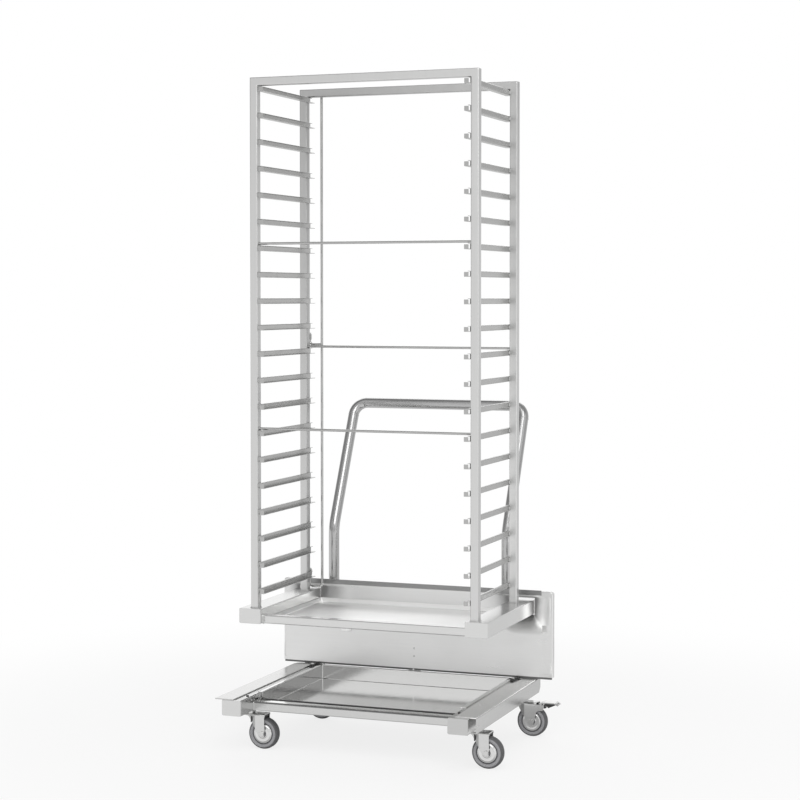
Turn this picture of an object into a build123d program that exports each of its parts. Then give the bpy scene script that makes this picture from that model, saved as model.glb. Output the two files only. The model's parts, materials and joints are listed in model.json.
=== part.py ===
from build123d import *
import os

# Drive-in rack trolley for a twenty-level oven, in millimetres.
# Sizes are measured from the rack's middle plane (X), from midway between the uprights (Y)
# and from the floor (Z). +X is the right side seen from the oven end, +Y is the pushing side.
# The saved parts are moved sideways only, so that the origin is the middle of the footprint.

# Rack
upright_spacing_x = 553.7
upright_spacing_y = 296.9
upright_side = 20.0
upright_wall = 1.5
upright_corner = 3.0
upright_cap = 1.5
rack_top = 1594.5

# Tray runners, spread evenly between the deck and the top
levels = 20
lowest_runner_over_deck = 41.4
highest_runner_under_top = 27.1
runner_height = 13.5
runner_sheet = 1.2
runner_bend = 1.6
ledge_width = 15.5
lip_width = 6.5
stop_width = 10.5
stop_height = 11.0
lead_in = 4.0

# Stop rods between the uprights, each a set height over one of the runners
stop_rod_diameter = 6.0
stop_rod_over_runner = 11.0
upper_front_level = 7
lower_front_level = 14
rear_level = 11

# Swinging tray gate
gate_rod_diameter = 6.5
gate_pivot_inset = 6.85
gate_pivot_behind_rack = 5.55
gate_reach = 33.0
gate_bend = 9.0
gate_top_drop = 6.5
gate_low_arm_drop = 28.0
gate_middle_arm_drop = 12.0
gate_pin_over_lug = 4.0
low_lug_over_deck = 37.0
lug_middle = 965.0
lug_height = 14.0
lug_side = 9.0
gate_running_gap = 0.06

# Deck
deck_rail_inset = 9.85
deck_rail_width = 56.0
deck_rail_bottom = 293.0
deck_rail_height = 36.0
deck_rail_wall = 2.0
rail_corner = 3.0
deck_overhang = 9.55
end_cap = 2.0
deck_bar_setback = 13.0
deck_bar_side = 20.0
pan_floor_drop = 2.5
pan_sheet = 1.5
pan_upstand = 14.0
pan_corner = 6.0
pan_gap = 0.5
spout_x = -56.0
spout_behind_bar = 40.0
spout_diameter = 25.0
spout_wall = 1.5
spout_length = 9.5

# Rear panel
panel_behind_rack = 44.55
panel_side_overhang = 47.0
panel_over_chassis = 7.0
panel_over_deck = 21.0
panel_sheet = 1.5
panel_return = 13.0
panel_corner = 8.0
panel_hem = 9.0
panel_hem_sheet = 1.0
slot_side_gap = 1.0
slot_top_gap = 4.5
strip_end_inset = 29.0
strip_over_panel = 2.0
strip_height = 12.0
strip_thickness = 1.5
screw_x = -2.0
upper_screw_drop = 11.5
lower_screw_drop = 31.0
screw_head = 7.5
screw_head_height = 1.6
screw_shank = 4.0
peg_x = -4.0
peg_under_panel = 3.1
peg_diameter = 4.6
peg_length = 2.3
bracket_half_width = 16.0
bracket_sheet = 3.0
bracket_height = 85.0

# Rear posts and push handle
post_inset = 7.0
post_width = 40.0
post_wall = 2.0
handle_diameter = 27.0
handle_wall = 2.0
handle_leg_inset = 29.5
handle_leg_overhang = 6.0
handle_knee_z = 484.0
handle_knee_radius = 90.0
handle_reach = 151.0
handle_top_z = 795.0
handle_corner = 34.0
handle_end_over_chassis = 11.0
low_clamp_over_end = 23.0
high_clamp_drop = 31.0
clamp_height = 26.0
clamp_depth = 22.0
plug_length = 12.0
plug_flange = 3.0

# Undercarriage
chassis_inset = 2.0
chassis_width = 49.0
chassis_height = 37.0
chassis_wall = 2.0
chassis_overhang = 115.0
chassis_behind_panel = 23.0
cross_bar_rise = 1.0
cross_bar_height = 20.0
cross_bar_setback = 71.0
cross_bar_depth = 36.0
rear_bar_depth = 20.0
rail_hole_inset = 9.0
rail_hole_setback = 57.0
rail_hole_diameter = 6.0
guide_sheet = 2.5
guide_overhang = 18.0
left_guide_gap = 2.5
left_guide_rear_gap = 8.0
left_guide_corner = 18.0
right_guide_inset = 16.0
right_guide_slant = 14.0
right_guide_slant_run = 42.0
right_guide_step_gap = 10.0
right_guide_setback = 9.0
right_guide_flange = 36.0
right_guide_chamfer = 12.0
foot_gap = 1.5
foot_width = 8.5
foot_length_to_panel = 43.0
foot_height = 5.0
foot_bolt_setback = 12.0
foot_bolt_head = 8.0
foot_bolt_head_height = 2.5
foot_bolt_shank = 5.0

# Drip tray
tray_side_gap = 4.0
tray_front_gap = 2.0
tray_rear_gap = 6.0
tray_floor_rise = 2.5
tray_sheet = 1.2
tray_corner = 8.0
tray_rim_seat = 7.0
tray_rim_over_rear = 3.8
tray_front_lip = 34.0

# Castors
castor_setback_front = 98.0
castor_setback_rear = 59.0
castor_plate_x = 46.0
castor_plate_y = 62.0
castor_plate_sheet = 3.0
castor_plate_corner = 5.0
castor_bolt_x = 32.0
castor_bolt_y = 46.0
castor_bolt_diameter = 6.0
castor_bolt_head = 10.0
castor_bolt_head_height = 3.5
castor_nut_height = 4.5
race_radius = 17.0
race_height = 6.0
race_chamfer = 2.4
race_gap = 0.15
kingpin_radius = 6.0
kingpin_head_radius = 10.0
kingpin_head_height = 2.6
swivel_gap = 0.06
fork_sheet = 3.0
fork_inside = 28.0
fork_crown_back = 24.0
fork_leg_width = 22.0
fork_gusset_drop = 24.0
cheek_back = 8.0
cheek_slope = 8.0
crown_overhang = 3.0
crown_lip = 8.0
crown_slope = 6.0
trail = 40.5
wheel_radius = 37.5
wheel_under_crown = 6.85
wheel_width = 25.0
tyre_inner_radius = 26.0
tyre_shoulder = 4.0
tyre_crown = 1.2
bead_inset = 2.0
hub_boss_radius = 9.0
hub_boss_gap = 0.3
hub_step = 1.0
cover_radius = 23.5
cover_recess = 5.0
cover_setback = 1.5
cover_bevel = 1.0
cover_slope = 4.0
cover_height = 1.0
axle_radius = 4.0
axle_gap = 0.06
axle_head_radius = 7.0
axle_head_height = 3.5
pedal_width = 27.0
pedal_sheet = 2.5
pedal_reach = 68.0
pedal_pivot_back = 8.5
pedal_pivot_drop = 6.0
pedal_pin = 4.0
pedal_pin_gap = 0.2
pedal_ear_radius = 4.5
pedal_start_rise = 3.0
pedal_ramp = 6.0
pedal_sink = 1.0
pedal_nose = 9.0
pedal_nose_drop = 5.0
pedal_fold = 3.0
brake_skirt = 32.0
brake_skirt_drop = 20.0
skirt_corner = 5.0
skirt_foot = 6.0
arch_inset = 13.0
arch_rise = 7.0
arch_drop = 2.0

# Heights that follow from the sizes above, from the wheels up
chassis_bottom = (2 * wheel_radius + wheel_under_crown + fork_sheet + race_gap + race_height
                  + castor_plate_sheet)
crown_top = chassis_bottom - castor_plate_sheet - race_height - race_gap
crown_bottom = crown_top - fork_sheet
chassis_top = chassis_bottom + chassis_height
guide_top = chassis_top + guide_sheet
cross_bar_bottom = chassis_bottom + cross_bar_rise
cross_bar_top = cross_bar_bottom + cross_bar_height
tray_floor = chassis_bottom + tray_floor_rise
deck_rail_top = deck_rail_bottom + deck_rail_height
pan_floor = deck_rail_bottom - pan_floor_drop
spout_bottom = pan_floor - spout_length
panel_bottom = chassis_top + panel_over_chassis
panel_top = deck_rail_top + panel_over_deck
strip_top = panel_top + strip_over_panel
strip_bottom = strip_top - strip_height
peg_z = panel_bottom - peg_under_panel
bracket_top = cross_bar_top + bracket_height
screw_heights = (bracket_top - upper_screw_drop, bracket_top - lower_screw_drop)
handle_bottom = chassis_top + handle_end_over_chassis
clamp_heights = (handle_bottom + low_clamp_over_end, deck_rail_bottom - high_clamp_drop)
lowest_runner = deck_rail_top + lowest_runner_over_deck
level_pitch = (rack_top - highest_runner_under_top - lowest_runner) / (levels - 1)
lug_low = deck_rail_top + low_lug_over_deck
gate_low_arm = lug_low - gate_low_arm_drop
gate_middle_arm = lug_middle - gate_middle_arm_drop
gate_top = rack_top - gate_top_drop

# Places across the trolley, from the uprights outwards
upright_x = upright_spacing_x / 2
upright_half = upright_side / 2
upright_inner_x = upright_x - upright_half
gate_pivot_x = -upright_x + gate_pivot_inset
deck_rail_inner = upright_inner_x - deck_rail_inset
deck_rail_outer = deck_rail_inner + deck_rail_width
panel_half_width = deck_rail_outer + panel_side_overhang
strip_half_width = panel_half_width - strip_end_inset
chassis_inner = deck_rail_inner - chassis_inset
chassis_outer = chassis_inner + chassis_width
castor_x = (chassis_inner + chassis_outer) / 2
post_inner = chassis_inner + post_inset
post_outer = post_inner + post_width
handle_leg_x = post_inner - handle_leg_inset
tray_half_width = chassis_inner - tray_side_gap
tray_rim = chassis_inner + tray_rim_seat
foot_inner = tray_rim + foot_gap
foot_outer = foot_inner + foot_width
guide_outer = chassis_outer + guide_overhang
left_guide_inner = foot_outer + left_guide_gap
right_guide_inner = chassis_inner + right_guide_inset
right_guide_inner_rear = right_guide_inner + right_guide_slant
rail_hole_x = chassis_inner + rail_hole_inset
fork_half = fork_inside / 2 + fork_sheet
pedal_tip = castor_x + trail + pedal_reach

# Places along the trolley, from the uprights outwards
upright_y = upright_spacing_y / 2
rack_rear = upright_y + upright_half
rack_front = -rack_rear
gate_pivot_y = rack_rear + gate_pivot_behind_rack
deck_front = rack_front - deck_overhang
deck_bar_front = deck_front + deck_bar_setback
spout_y = deck_bar_front + spout_behind_bar
panel_front = rack_rear + panel_behind_rack
panel_back = panel_front + panel_sheet
chassis_rear = panel_front + chassis_behind_panel
chassis_front = deck_front - chassis_overhang
cross_bar_front = chassis_front + cross_bar_setback
handle_leg_y = chassis_rear + handle_leg_overhang
handle_top_y = handle_leg_y + handle_reach
tray_front = cross_bar_front + cross_bar_depth + tray_front_gap
tray_rear = panel_front - tray_rear_gap
tray_rim_rear = tray_rear + tray_rim_over_rear
foot_front = panel_front - foot_length_to_panel
foot_bolt_y = foot_front + foot_bolt_setback
left_guide_rear = panel_front - left_guide_rear_gap
right_guide_front = chassis_front + right_guide_setback
right_guide_step = foot_front - right_guide_step_gap
rail_hole_y = chassis_front + rail_hole_setback
castor_front_y = chassis_front + castor_setback_front
castor_rear_y = chassis_rear - castor_setback_rear

# Middle of the footprint, which becomes the origin
middle_x = (pedal_tip - panel_half_width) / 2
middle_y = (chassis_front + handle_top_y + handle_diameter / 2) / 2


# Height of the middle of a tray runner; level 1 is the top one
def runner_z(level):
    return lowest_runner + level_pitch * (levels - level)


# Solid block between two corners
def block(x0, x1, y0, y1, z0, z1):
    centre = Pos((x0 + x1) / 2, (y0 + y1) / 2, (z0 + z1) / 2)
    return centre * Box(x1 - x0, y1 - y0, z1 - z0)


# Work planes whose normals are +X and +Y, with the sketch's second axis pointing up
def facing_x(x, y=0.0, z=0.0):
    return Plane(origin=(x, y, z), x_dir=(0, 1, 0), z_dir=(1, 0, 0))


def facing_y(y, x=0.0, z=0.0):
    return Plane(origin=(x, y, z), x_dir=(-1, 0, 0), z_dir=(0, 1, 0))


# Work plane whose normal is -Y, with the sketch's axes along +X and +Z
def side_plane(y):
    return Plane(origin=(0, y, 0), x_dir=(1, 0, 0), z_dir=(0, -1, 0))


# Ring of a rounded rectangular tube
def tube_section(wide, high, wall, corner):
    outer = RectangleRounded(wide, high, corner)
    return outer - RectangleRounded(wide - 2 * wall, high - 2 * wall, corner - wall * 0.75)


def round_bar(start, end, diameter):
    axis = Vector(*end) - Vector(*start)
    plane = Plane(origin=start, z_dir=axis)
    return extrude(plane * Circle(diameter / 2), amount=axis.length)


def mirrored(shape):
    return mirror(shape, about=Plane.YZ)


def save(name, *solids):
    moved = [Pos(-middle_x, -middle_y, 0) * solid for solid in solids]
    export_step(moved[0] if len(moved) == 1 else Compound(children=moved), f"parts/{name}.step")


# Upright tube standing on a deck rail, with its cap
def make_upright(x, y):
    section = tube_section(upright_side, upright_side, upright_wall, upright_corner)
    length = rack_top - upright_cap - deck_rail_top
    tube = extrude(Pos(x, y, deck_rail_top) * section, amount=length)
    cap_face = RectangleRounded(upright_side, upright_side, upright_corner)
    cap = extrude(Pos(x, y, rack_top - upright_cap) * cap_face, amount=upright_cap)
    return tube, cap


def make_top_bar(y):
    section = tube_section(upright_side, upright_side, upright_wall, upright_corner)
    plane = facing_x(-upright_inner_x, y, rack_top - upright_half)
    return extrude(plane * section, amount=2 * upright_inner_x)


# Folded runner on the right side: web against the uprights, tray ledge below, short lip above
def make_right_runner(level):
    z = runner_z(level)
    mid = runner_sheet / 2
    reach = runner_height / 2 - mid
    fold = FilletPolyline((lip_width, reach), (mid, reach), (mid, -reach), (ledge_width, -reach),
                          radius=runner_bend)
    section = trace(fold, line_width=runner_sheet)
    plane = facing_y(rack_front, upright_inner_x, z)
    runner = extrude(plane * section, amount=rack_rear - rack_front)
    tip = upright_inner_x - ledge_width
    low = z - runner_height / 2
    stop = block(tip, tip + stop_width, rack_front, rack_front + runner_sheet, low, low + stop_height)
    notch = Pos(tip, rack_rear, low) * Rot(0, 0, 45) * Box(lead_in * 2**0.5, lead_in * 2**0.5, runner_height)
    return runner + stop - notch


def make_stop_rod(level, y):
    z = runner_z(level) + stop_rod_over_runner
    return round_bar((-upright_inner_x, y, z), (upright_inner_x, y, z), stop_rod_diameter)


# Gate arm: from the standing rod back to the pivot and up through its lug
def gate_arm_path(arm_z, pin_top, start_z=None):
    x = gate_pivot_x + gate_reach
    corners = [(x, gate_pivot_y, arm_z), (gate_pivot_x, gate_pivot_y, arm_z),
               (gate_pivot_x, gate_pivot_y, pin_top)]
    if start_z is not None:
        corners.insert(0, (x, gate_pivot_y, start_z))
    return FilletPolyline(*corners, radius=gate_bend)


def sweep_round(path, diameter, wall=None):
    face = Circle(diameter / 2)
    if wall is not None:
        face -= Circle(diameter / 2 - wall)
    plane = Plane(origin=path @ 0, z_dir=path % 0)
    return sweep(plane * face, path=path)


def make_gate():
    pin_low = lug_low + lug_height + gate_pin_over_lug
    pin_middle = lug_middle + lug_height + gate_pin_over_lug
    long_rod = sweep_round(gate_arm_path(gate_low_arm, pin_low, gate_top), gate_rod_diameter)
    arm = sweep_round(gate_arm_path(gate_middle_arm, pin_middle), gate_rod_diameter)
    return long_rod + arm


def make_gate_lug(z):
    hole = gate_rod_diameter / 2 + gate_running_gap
    rear = gate_pivot_y + lug_side / 2
    lug = block(gate_pivot_x - lug_side / 2, gate_pivot_x + lug_side / 2, rack_rear, rear, z, z + lug_height)
    rounded = lug.edges().filter_by(Axis.Z).sort_by(Axis.Y)[-2:]
    lug = fillet(rounded, lug_side * 0.42)
    return lug - Pos(gate_pivot_x, gate_pivot_y, z) * Cylinder(hole, 3 * lug_height)


# Box-section rail along Y on the right side, with an end cap at each named end
def make_rail(inner, outer, bottom, height, wall, front, rear, capped_rear):
    x = (inner + outer) / 2
    z = bottom + height / 2
    start = front + end_cap
    end = rear - end_cap if capped_rear else rear
    plane = facing_y(start, x, z)
    rail = extrude(plane * tube_section(outer - inner, height, wall, rail_corner), amount=end - start)
    cap_face = RectangleRounded(outer - inner, height, rail_corner)
    caps = [extrude(facing_y(front, x, z) * cap_face, amount=end_cap)]
    if capped_rear:
        caps.append(extrude(facing_y(end, x, z) * cap_face, amount=end_cap))
    return rail, caps


# Open sheet tray: floor and four walls with rounded upright corners
def make_open_tray(x0, x1, y0, y1, z0, z1, sheet, corner):
    outer = block(x0, x1, y0, y1, z0, z1)
    outer = fillet(outer.edges().filter_by(Axis.Z), corner)
    inner = block(x0 + sheet, x1 - sheet, y0 + sheet, y1 - sheet, z0 + sheet, z1 + sheet)
    inner = fillet(inner.edges().filter_by(Axis.Z), corner - sheet)
    return outer - inner


def make_deck_pan():
    half = deck_rail_inner - pan_gap
    front = deck_bar_front + deck_bar_side + pan_gap
    rear = panel_front - strip_thickness - pan_gap
    pan = make_open_tray(-half, half, front, rear, pan_floor, pan_floor + pan_upstand, pan_sheet, pan_corner)
    drain = Pos(spout_x, spout_y, pan_floor) * Cylinder(spout_diameter / 2 - spout_wall, 4 * pan_sheet)
    return pan - drain


def make_spout():
    length = pan_floor - spout_bottom
    ring = Circle(spout_diameter / 2) - Circle(spout_diameter / 2 - spout_wall)
    return extrude(Pos(spout_x, spout_y, spout_bottom) * ring, amount=length)


# Rear panel: front sheet folded back at the sides and top, hemmed below, with slots for the deck rails
def make_rear_panel():
    high = panel_top - panel_bottom
    z = (panel_top + panel_bottom) / 2
    shell = block(-panel_half_width, panel_half_width, panel_front, panel_front + panel_return,
                  panel_bottom, panel_top)
    top_corners = shell.edges().filter_by(Axis.Y).sort_by(Axis.Z)[-2:]
    shell = fillet(top_corners, panel_corner)
    inside = block(-panel_half_width + panel_sheet, panel_half_width - panel_sheet, panel_back,
                   panel_back + panel_return, panel_bottom - 1, panel_top - panel_sheet)
    inside_corners = inside.edges().filter_by(Axis.Y).sort_by(Axis.Z)[-2:]
    shell -= fillet(inside_corners, panel_corner - panel_sheet)
    shell += block(-panel_half_width, panel_half_width, panel_front - panel_hem_sheet, panel_front,
                   panel_bottom, panel_bottom + panel_hem)
    wide = deck_rail_outer - deck_rail_inner + 2 * slot_side_gap
    tall = deck_rail_height + slot_side_gap + slot_top_gap
    for side in (-1, 1):
        x = side * (deck_rail_inner + deck_rail_outer) / 2
        middle = deck_rail_bottom - slot_side_gap + tall / 2
        shell -= Pos(x, panel_front, middle) * Box(wide, 4 * panel_sheet, tall)
    for z in screw_heights:
        shell -= round_bar((screw_x, panel_front - 1, z), (screw_x, panel_back + 1, z), screw_shank)
    return shell


def make_panel_screws():
    screws = []
    for z in screw_heights:
        head = round_bar((screw_x, panel_front - screw_head_height, z), (screw_x, panel_front, z), screw_head)
        crown = head.edges().filter_by(GeomType.CIRCLE).sort_by(Axis.Y)[0]
        head = fillet(crown, screw_head_height * 0.6)
        shank = round_bar((screw_x, panel_front, z), (screw_x, panel_back + bracket_sheet, z), screw_shank)
        screws.append(head + shank)
    return screws


# Angle behind the panel: upright leaf for the screws, foot on the rear cross bar
def make_latch_bracket():
    left = screw_x - bracket_half_width
    right = screw_x + bracket_half_width
    leaf = block(left, right, panel_back, panel_back + bracket_sheet, cross_bar_top, bracket_top)
    foot = block(left, right, panel_back, chassis_rear, cross_bar_top, cross_bar_top + bracket_sheet)
    bracket = leaf + foot
    corners = bracket.edges().filter_by(Axis.Y).sort_by(Axis.Z)[-2:]
    bracket = fillet(corners, bracket_half_width * 0.4)
    through = panel_back + 2 * bracket_sheet
    for z in screw_heights:
        bracket -= round_bar((screw_x, panel_front, z), (screw_x, through, z), screw_shank)
    return bracket


def make_panel_peg():
    tip = panel_back - peg_length
    return round_bar((peg_x, tip, peg_z), (peg_x, panel_back, peg_z), peg_diameter)


def make_right_post():
    wide = post_outer - post_inner
    deep = chassis_rear - panel_back
    section = tube_section(wide, deep, post_wall, rail_corner)
    place = Pos((post_inner + post_outer) / 2, panel_back + deep / 2, chassis_top)
    return extrude(place * section, amount=deck_rail_bottom - chassis_top)


# Push handle: two upright legs, a knee, leaning arms and a cross bar, all one bent tube
def handle_path():
    low = handle_bottom
    points = [(-handle_leg_x, handle_leg_y, low), (-handle_leg_x, handle_leg_y, handle_knee_z),
              (-handle_leg_x, handle_top_y, handle_top_z), (handle_leg_x, handle_top_y, handle_top_z),
              (handle_leg_x, handle_leg_y, handle_knee_z), (handle_leg_x, handle_leg_y, low)]
    radii = [handle_knee_radius, handle_corner, handle_corner, handle_knee_radius]
    return FilletPolyline(*points, radius=radii)


def make_handle():
    return sweep_round(handle_path(), handle_diameter, handle_wall)


def make_handle_plug():
    inner = handle_diameter / 2 - handle_wall
    core = Cylinder(inner, plug_length, align=(Align.CENTER, Align.CENTER, Align.MIN))
    flange = Cylinder(handle_diameter / 2, plug_flange, align=(Align.CENTER, Align.CENTER, Align.MAX))
    return Pos(handle_leg_x, handle_leg_y, handle_bottom) * (core + flange)


# Block between a post and a handle leg, hollowed to the tube
def make_clamp(z):
    clamp = block(handle_leg_x + handle_diameter * 0.3, post_inner, chassis_rear - clamp_depth * 0.6,
                  chassis_rear + clamp_depth * 0.4, z, z + clamp_height)
    return clamp - Pos(handle_leg_x, handle_leg_y, z) * Cylinder(handle_diameter / 2, 3 * clamp_height)


def make_right_chassis_rail():
    rail, caps = make_rail(chassis_inner, chassis_outer, chassis_bottom, chassis_height, chassis_wall,
                           chassis_front, chassis_rear, True)
    for y in (castor_front_y, castor_rear_y):
        for x, dy in castor_bolt_places():
            rail -= Pos(x, y + dy, chassis_bottom) * Cylinder(castor_bolt_diameter / 2, 4 * chassis_wall)
    bolt_x = (foot_inner + foot_outer) / 2
    rail -= Pos(bolt_x, foot_bolt_y, chassis_top) * Cylinder(foot_bolt_shank / 2, 4 * chassis_wall)
    return rail, caps


def make_cross_bar(front, depth):
    section = tube_section(depth, cross_bar_height, chassis_wall, rail_corner)
    plane = facing_x(-chassis_inner, front + depth / 2, cross_bar_bottom + cross_bar_height / 2)
    return extrude(plane * section, amount=2 * chassis_inner)


def make_left_guide_plate():
    plate = block(-guide_outer, -left_guide_inner, chassis_front, left_guide_rear, chassis_top, guide_top)
    corner = plate.edges().filter_by(Axis.Z).sort_by(Axis.X)[:2].sort_by(Axis.Y)[-1]
    return fillet(corner, left_guide_corner)


def make_right_guide_angle():
    rear = panel_front - panel_hem_sheet - pan_gap
    outline = Polyline((right_guide_inner, right_guide_front), (guide_outer, right_guide_front),
                       (guide_outer, rear), (right_guide_inner_rear, rear),
                       (right_guide_inner_rear, right_guide_step),
                       (right_guide_inner, right_guide_step - right_guide_slant_run), close=True)
    top = extrude(Pos(0, 0, chassis_top) * make_face(outline), amount=guide_sheet)
    tail = block(chassis_outer, guide_outer, right_guide_front, chassis_rear, chassis_top, guide_top)
    flange = block(guide_outer - guide_sheet, guide_outer, right_guide_front, chassis_rear,
                   guide_top - right_guide_flange, guide_top)
    angle = top + tail + flange
    low_rear = flange.edges().filter_by(Axis.X).sort_by(Axis.Z)[:2].sort_by(Axis.Y)[-1]
    place = low_rear.center()
    cut = Pos(guide_outer, place.Y, place.Z) * Rot(45, 0, 0)
    return angle - cut * Box(4 * guide_sheet, right_guide_chamfer * 2**0.5, right_guide_chamfer * 2**0.5)


def make_foot_bracket():
    foot = block(foot_inner, foot_outer, foot_front, panel_front - panel_hem_sheet, chassis_top,
                 chassis_top + foot_height)
    foot = chamfer(foot.edges().filter_by(Axis.X).sort_by(Axis.Z)[-2:].sort_by(Axis.Y)[0], foot_height * 0.6)
    x = (foot_inner + foot_outer) / 2
    return foot - Pos(x, foot_bolt_y, chassis_top) * Cylinder(foot_bolt_shank / 2, 4 * foot_height)


def make_foot_bolt():
    x = (foot_inner + foot_outer) / 2
    top = chassis_top + foot_height
    head = round_bar((x, foot_bolt_y, top), (x, foot_bolt_y, top + foot_bolt_head_height), foot_bolt_head)
    shank_end = chassis_top - 2 * chassis_wall
    return head + round_bar((x, foot_bolt_y, shank_end), (x, foot_bolt_y, top), foot_bolt_shank)


# Drip tray: hangs by its side rims on the rails and by its front lip on the front cross bar
def make_drip_tray():
    low = tray_floor - tray_sheet
    tray = make_open_tray(-tray_half_width, tray_half_width, tray_front, tray_rear, low, chassis_top,
                          tray_sheet, tray_corner)
    front_cut = tray_corner
    tray -= block(-tray_half_width + front_cut, tray_half_width - front_cut, tray_front - 1,
                  tray_front + tray_corner, cross_bar_top, chassis_top + 1)
    rim = block(-tray_rim, tray_rim, tray_front, tray_rim_rear, chassis_top, chassis_top + tray_sheet)
    opening = block(-tray_half_width + tray_sheet, tray_half_width - tray_sheet, tray_front - 1,
                    tray_rear - tray_sheet, chassis_top - 1, chassis_top + 2 * tray_sheet)
    lip = block(-tray_half_width + front_cut, tray_half_width - front_cut, tray_front - tray_front_lip,
                tray_front + tray_sheet, cross_bar_top, cross_bar_top + tray_sheet)
    return tray + (rim - opening) + lip


def castor_bolt_places():
    return [(castor_x + sx * castor_bolt_x / 2, sy * castor_bolt_y / 2) for sx in (-1, 1) for sy in (-1, 1)]


# Castor pieces are drawn with the swivel axis at X = Y = 0 and the wheel trailing to +X
def make_castor_plate():
    low = chassis_bottom - castor_plate_sheet
    face = RectangleRounded(castor_plate_x, castor_plate_y, castor_plate_corner)
    plate = extrude(Pos(0, 0, low) * face, amount=castor_plate_sheet)
    race = Pos(0, 0, low - race_height / 2) * Cylinder(race_radius, race_height)
    race = chamfer(race.edges().sort_by(Axis.Z)[0], race_chamfer)
    plate += race
    plate -= Pos(0, 0, low) * Cylinder(kingpin_radius, 8 * race_height)
    for sx in (-1, 1):
        for sy in (-1, 1):
            hole = Cylinder(castor_bolt_diameter / 2, 4 * castor_plate_sheet)
            plate -= Pos(sx * castor_bolt_x / 2, sy * castor_bolt_y / 2, low) * hole
    return plate


def make_kingpin():
    shank = round_bar((0, 0, crown_bottom - swivel_gap), (0, 0, chassis_bottom), 2 * kingpin_radius)
    head_top = crown_bottom - swivel_gap
    head = round_bar((0, 0, head_top - kingpin_head_height), (0, 0, head_top), 2 * kingpin_head_radius)
    head = chamfer(head.edges().filter_by(GeomType.CIRCLE).sort_by(Axis.Z)[0], kingpin_head_height * 0.5)
    return shank + head


def make_castor_bolts():
    hexagon = RegularPolygon(castor_bolt_head / 2, 6, major_radius=False, rotation=30)
    bolts = []
    low = chassis_bottom - castor_plate_sheet
    nut_base = chassis_bottom + chassis_wall
    for x, dy in castor_bolt_places():
        x -= castor_x
        head = extrude(Pos(x, dy, low) * hexagon, amount=-castor_bolt_head_height)
        nut = extrude(Pos(x, dy, nut_base) * hexagon, amount=castor_nut_height)
        bolts.append(head + nut + round_bar((x, dy, low), (x, dy, nut_base), castor_bolt_diameter))
    return bolts


# Fork cheek outline in the X-Z plane: straight leg round the axle, gusset towards the swivel
def cheek_outline(braked):
    back = trail - fork_leg_width / 2
    front = trail + fork_leg_width / 2
    top = crown_top
    gusset = top - fork_gusset_drop - cheek_slope
    points = [(back, wheel_radius), (back, gusset), (-cheek_back, crown_bottom), (-cheek_back, top)]
    if braked:
        far = trail + brake_skirt
        low = top - brake_skirt_drop
        points += [(far - skirt_corner, top), (far, top - skirt_corner), (far, low), (far - skirt_foot, low)]
        points += [(far - arch_inset, low + arch_rise), (front, low - arch_drop)]
    else:
        edge = front + crown_overhang
        points += [(edge, top), (edge, top - crown_lip), (front, top - crown_lip - crown_slope)]
    points.append((front, wheel_radius))
    return points


def make_fork(braked):
    points = cheek_outline(braked)
    blade = make_face(Polyline(*points, close=True)) + Pos(trail, wheel_radius) * Circle(fork_leg_width / 2)
    rear_cheek = extrude(side_plane(fork_half) * blade, amount=fork_sheet)
    cheeks = rear_cheek + mirror(rear_cheek, about=Plane.XZ)
    leg_edge = trail + fork_leg_width / 2 + crown_overhang
    crown_end = trail + brake_skirt - skirt_corner if braked else leg_edge
    crown = block(-fork_crown_back, crown_end, -fork_half, fork_half, crown_bottom, crown_top)
    crown = fillet(crown.edges().filter_by(Axis.Z).sort_by(Axis.X)[:2], fork_half * 0.8)
    fork = crown + cheeks
    fork -= Pos(0, 0, crown_top) * Cylinder(kingpin_radius + swivel_gap, 4 * fork_sheet)
    fork -= Pos(trail, 0, wheel_radius) * Rot(90, 0, 0) * Cylinder(axle_radius, 3 * fork_half)
    if braked:
        fork -= pedal_pivot() * Cylinder(pedal_pin / 2 + swivel_gap, 3 * fork_half)
        fork -= block(leg_edge, trail + 2 * brake_skirt, -fork_inside / 2, fork_inside / 2,
                      crown_bottom - 1, crown_top + 1)
    return fork


def pedal_pivot():
    x = trail + brake_skirt - pedal_pivot_back
    return Pos(x, 0, crown_top - pedal_pivot_drop) * Rot(90, 0, 0)


# Brake pedal: top plate with a turned-down nose, on a cross pin held by the fork's cheeks
def make_brake_pedal():
    x = trail + brake_skirt - pedal_pivot_back
    z = crown_top - pedal_pivot_drop
    tip = trail + pedal_reach
    half = pedal_sheet / 2
    start = x - pedal_ear_radius
    rise = crown_top + half - pedal_sink
    nose = rise - pedal_nose_drop
    line = FilletPolyline((start, z + pedal_start_rise), (x + pedal_ramp, rise), (tip - pedal_nose, rise),
                          (tip - half, nose), radius=pedal_fold)
    plate = extrude(side_plane(pedal_width / 2) * trace(line, line_width=pedal_sheet), amount=pedal_width)
    pin_length = 2 * (fork_half - pedal_pin_gap)
    eye = pedal_pivot() * Cylinder(pedal_ear_radius, pedal_width)
    pin = pedal_pivot() * Cylinder(pedal_pin / 2, pin_length)
    return plate + eye + pin


def make_axle():
    half = fork_half
    shank = Pos(trail, 0, wheel_radius) * Rot(90, 0, 0) * Cylinder(axle_radius, 2 * half)
    axle = shank
    for side in (-1, 1):
        plane = Plane(origin=(trail, side * half, wheel_radius), z_dir=(0, side, 0))
        head = extrude(plane * RegularPolygon(axle_head_radius, 6), amount=axle_head_height)
        axle += head
    return axle


# Turned pieces of a wheel: profile in radius and width, revolved about the axle
def turned(points):
    profile = make_face(Polyline(*points, close=True))
    face = Plane(origin=(trail, 0, wheel_radius), x_dir=(0, 0, 1), z_dir=(1, 0, 0)) * profile
    return revolve(face, axis=Axis((trail, 0, wheel_radius), (0, 1, 0)))


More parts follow.
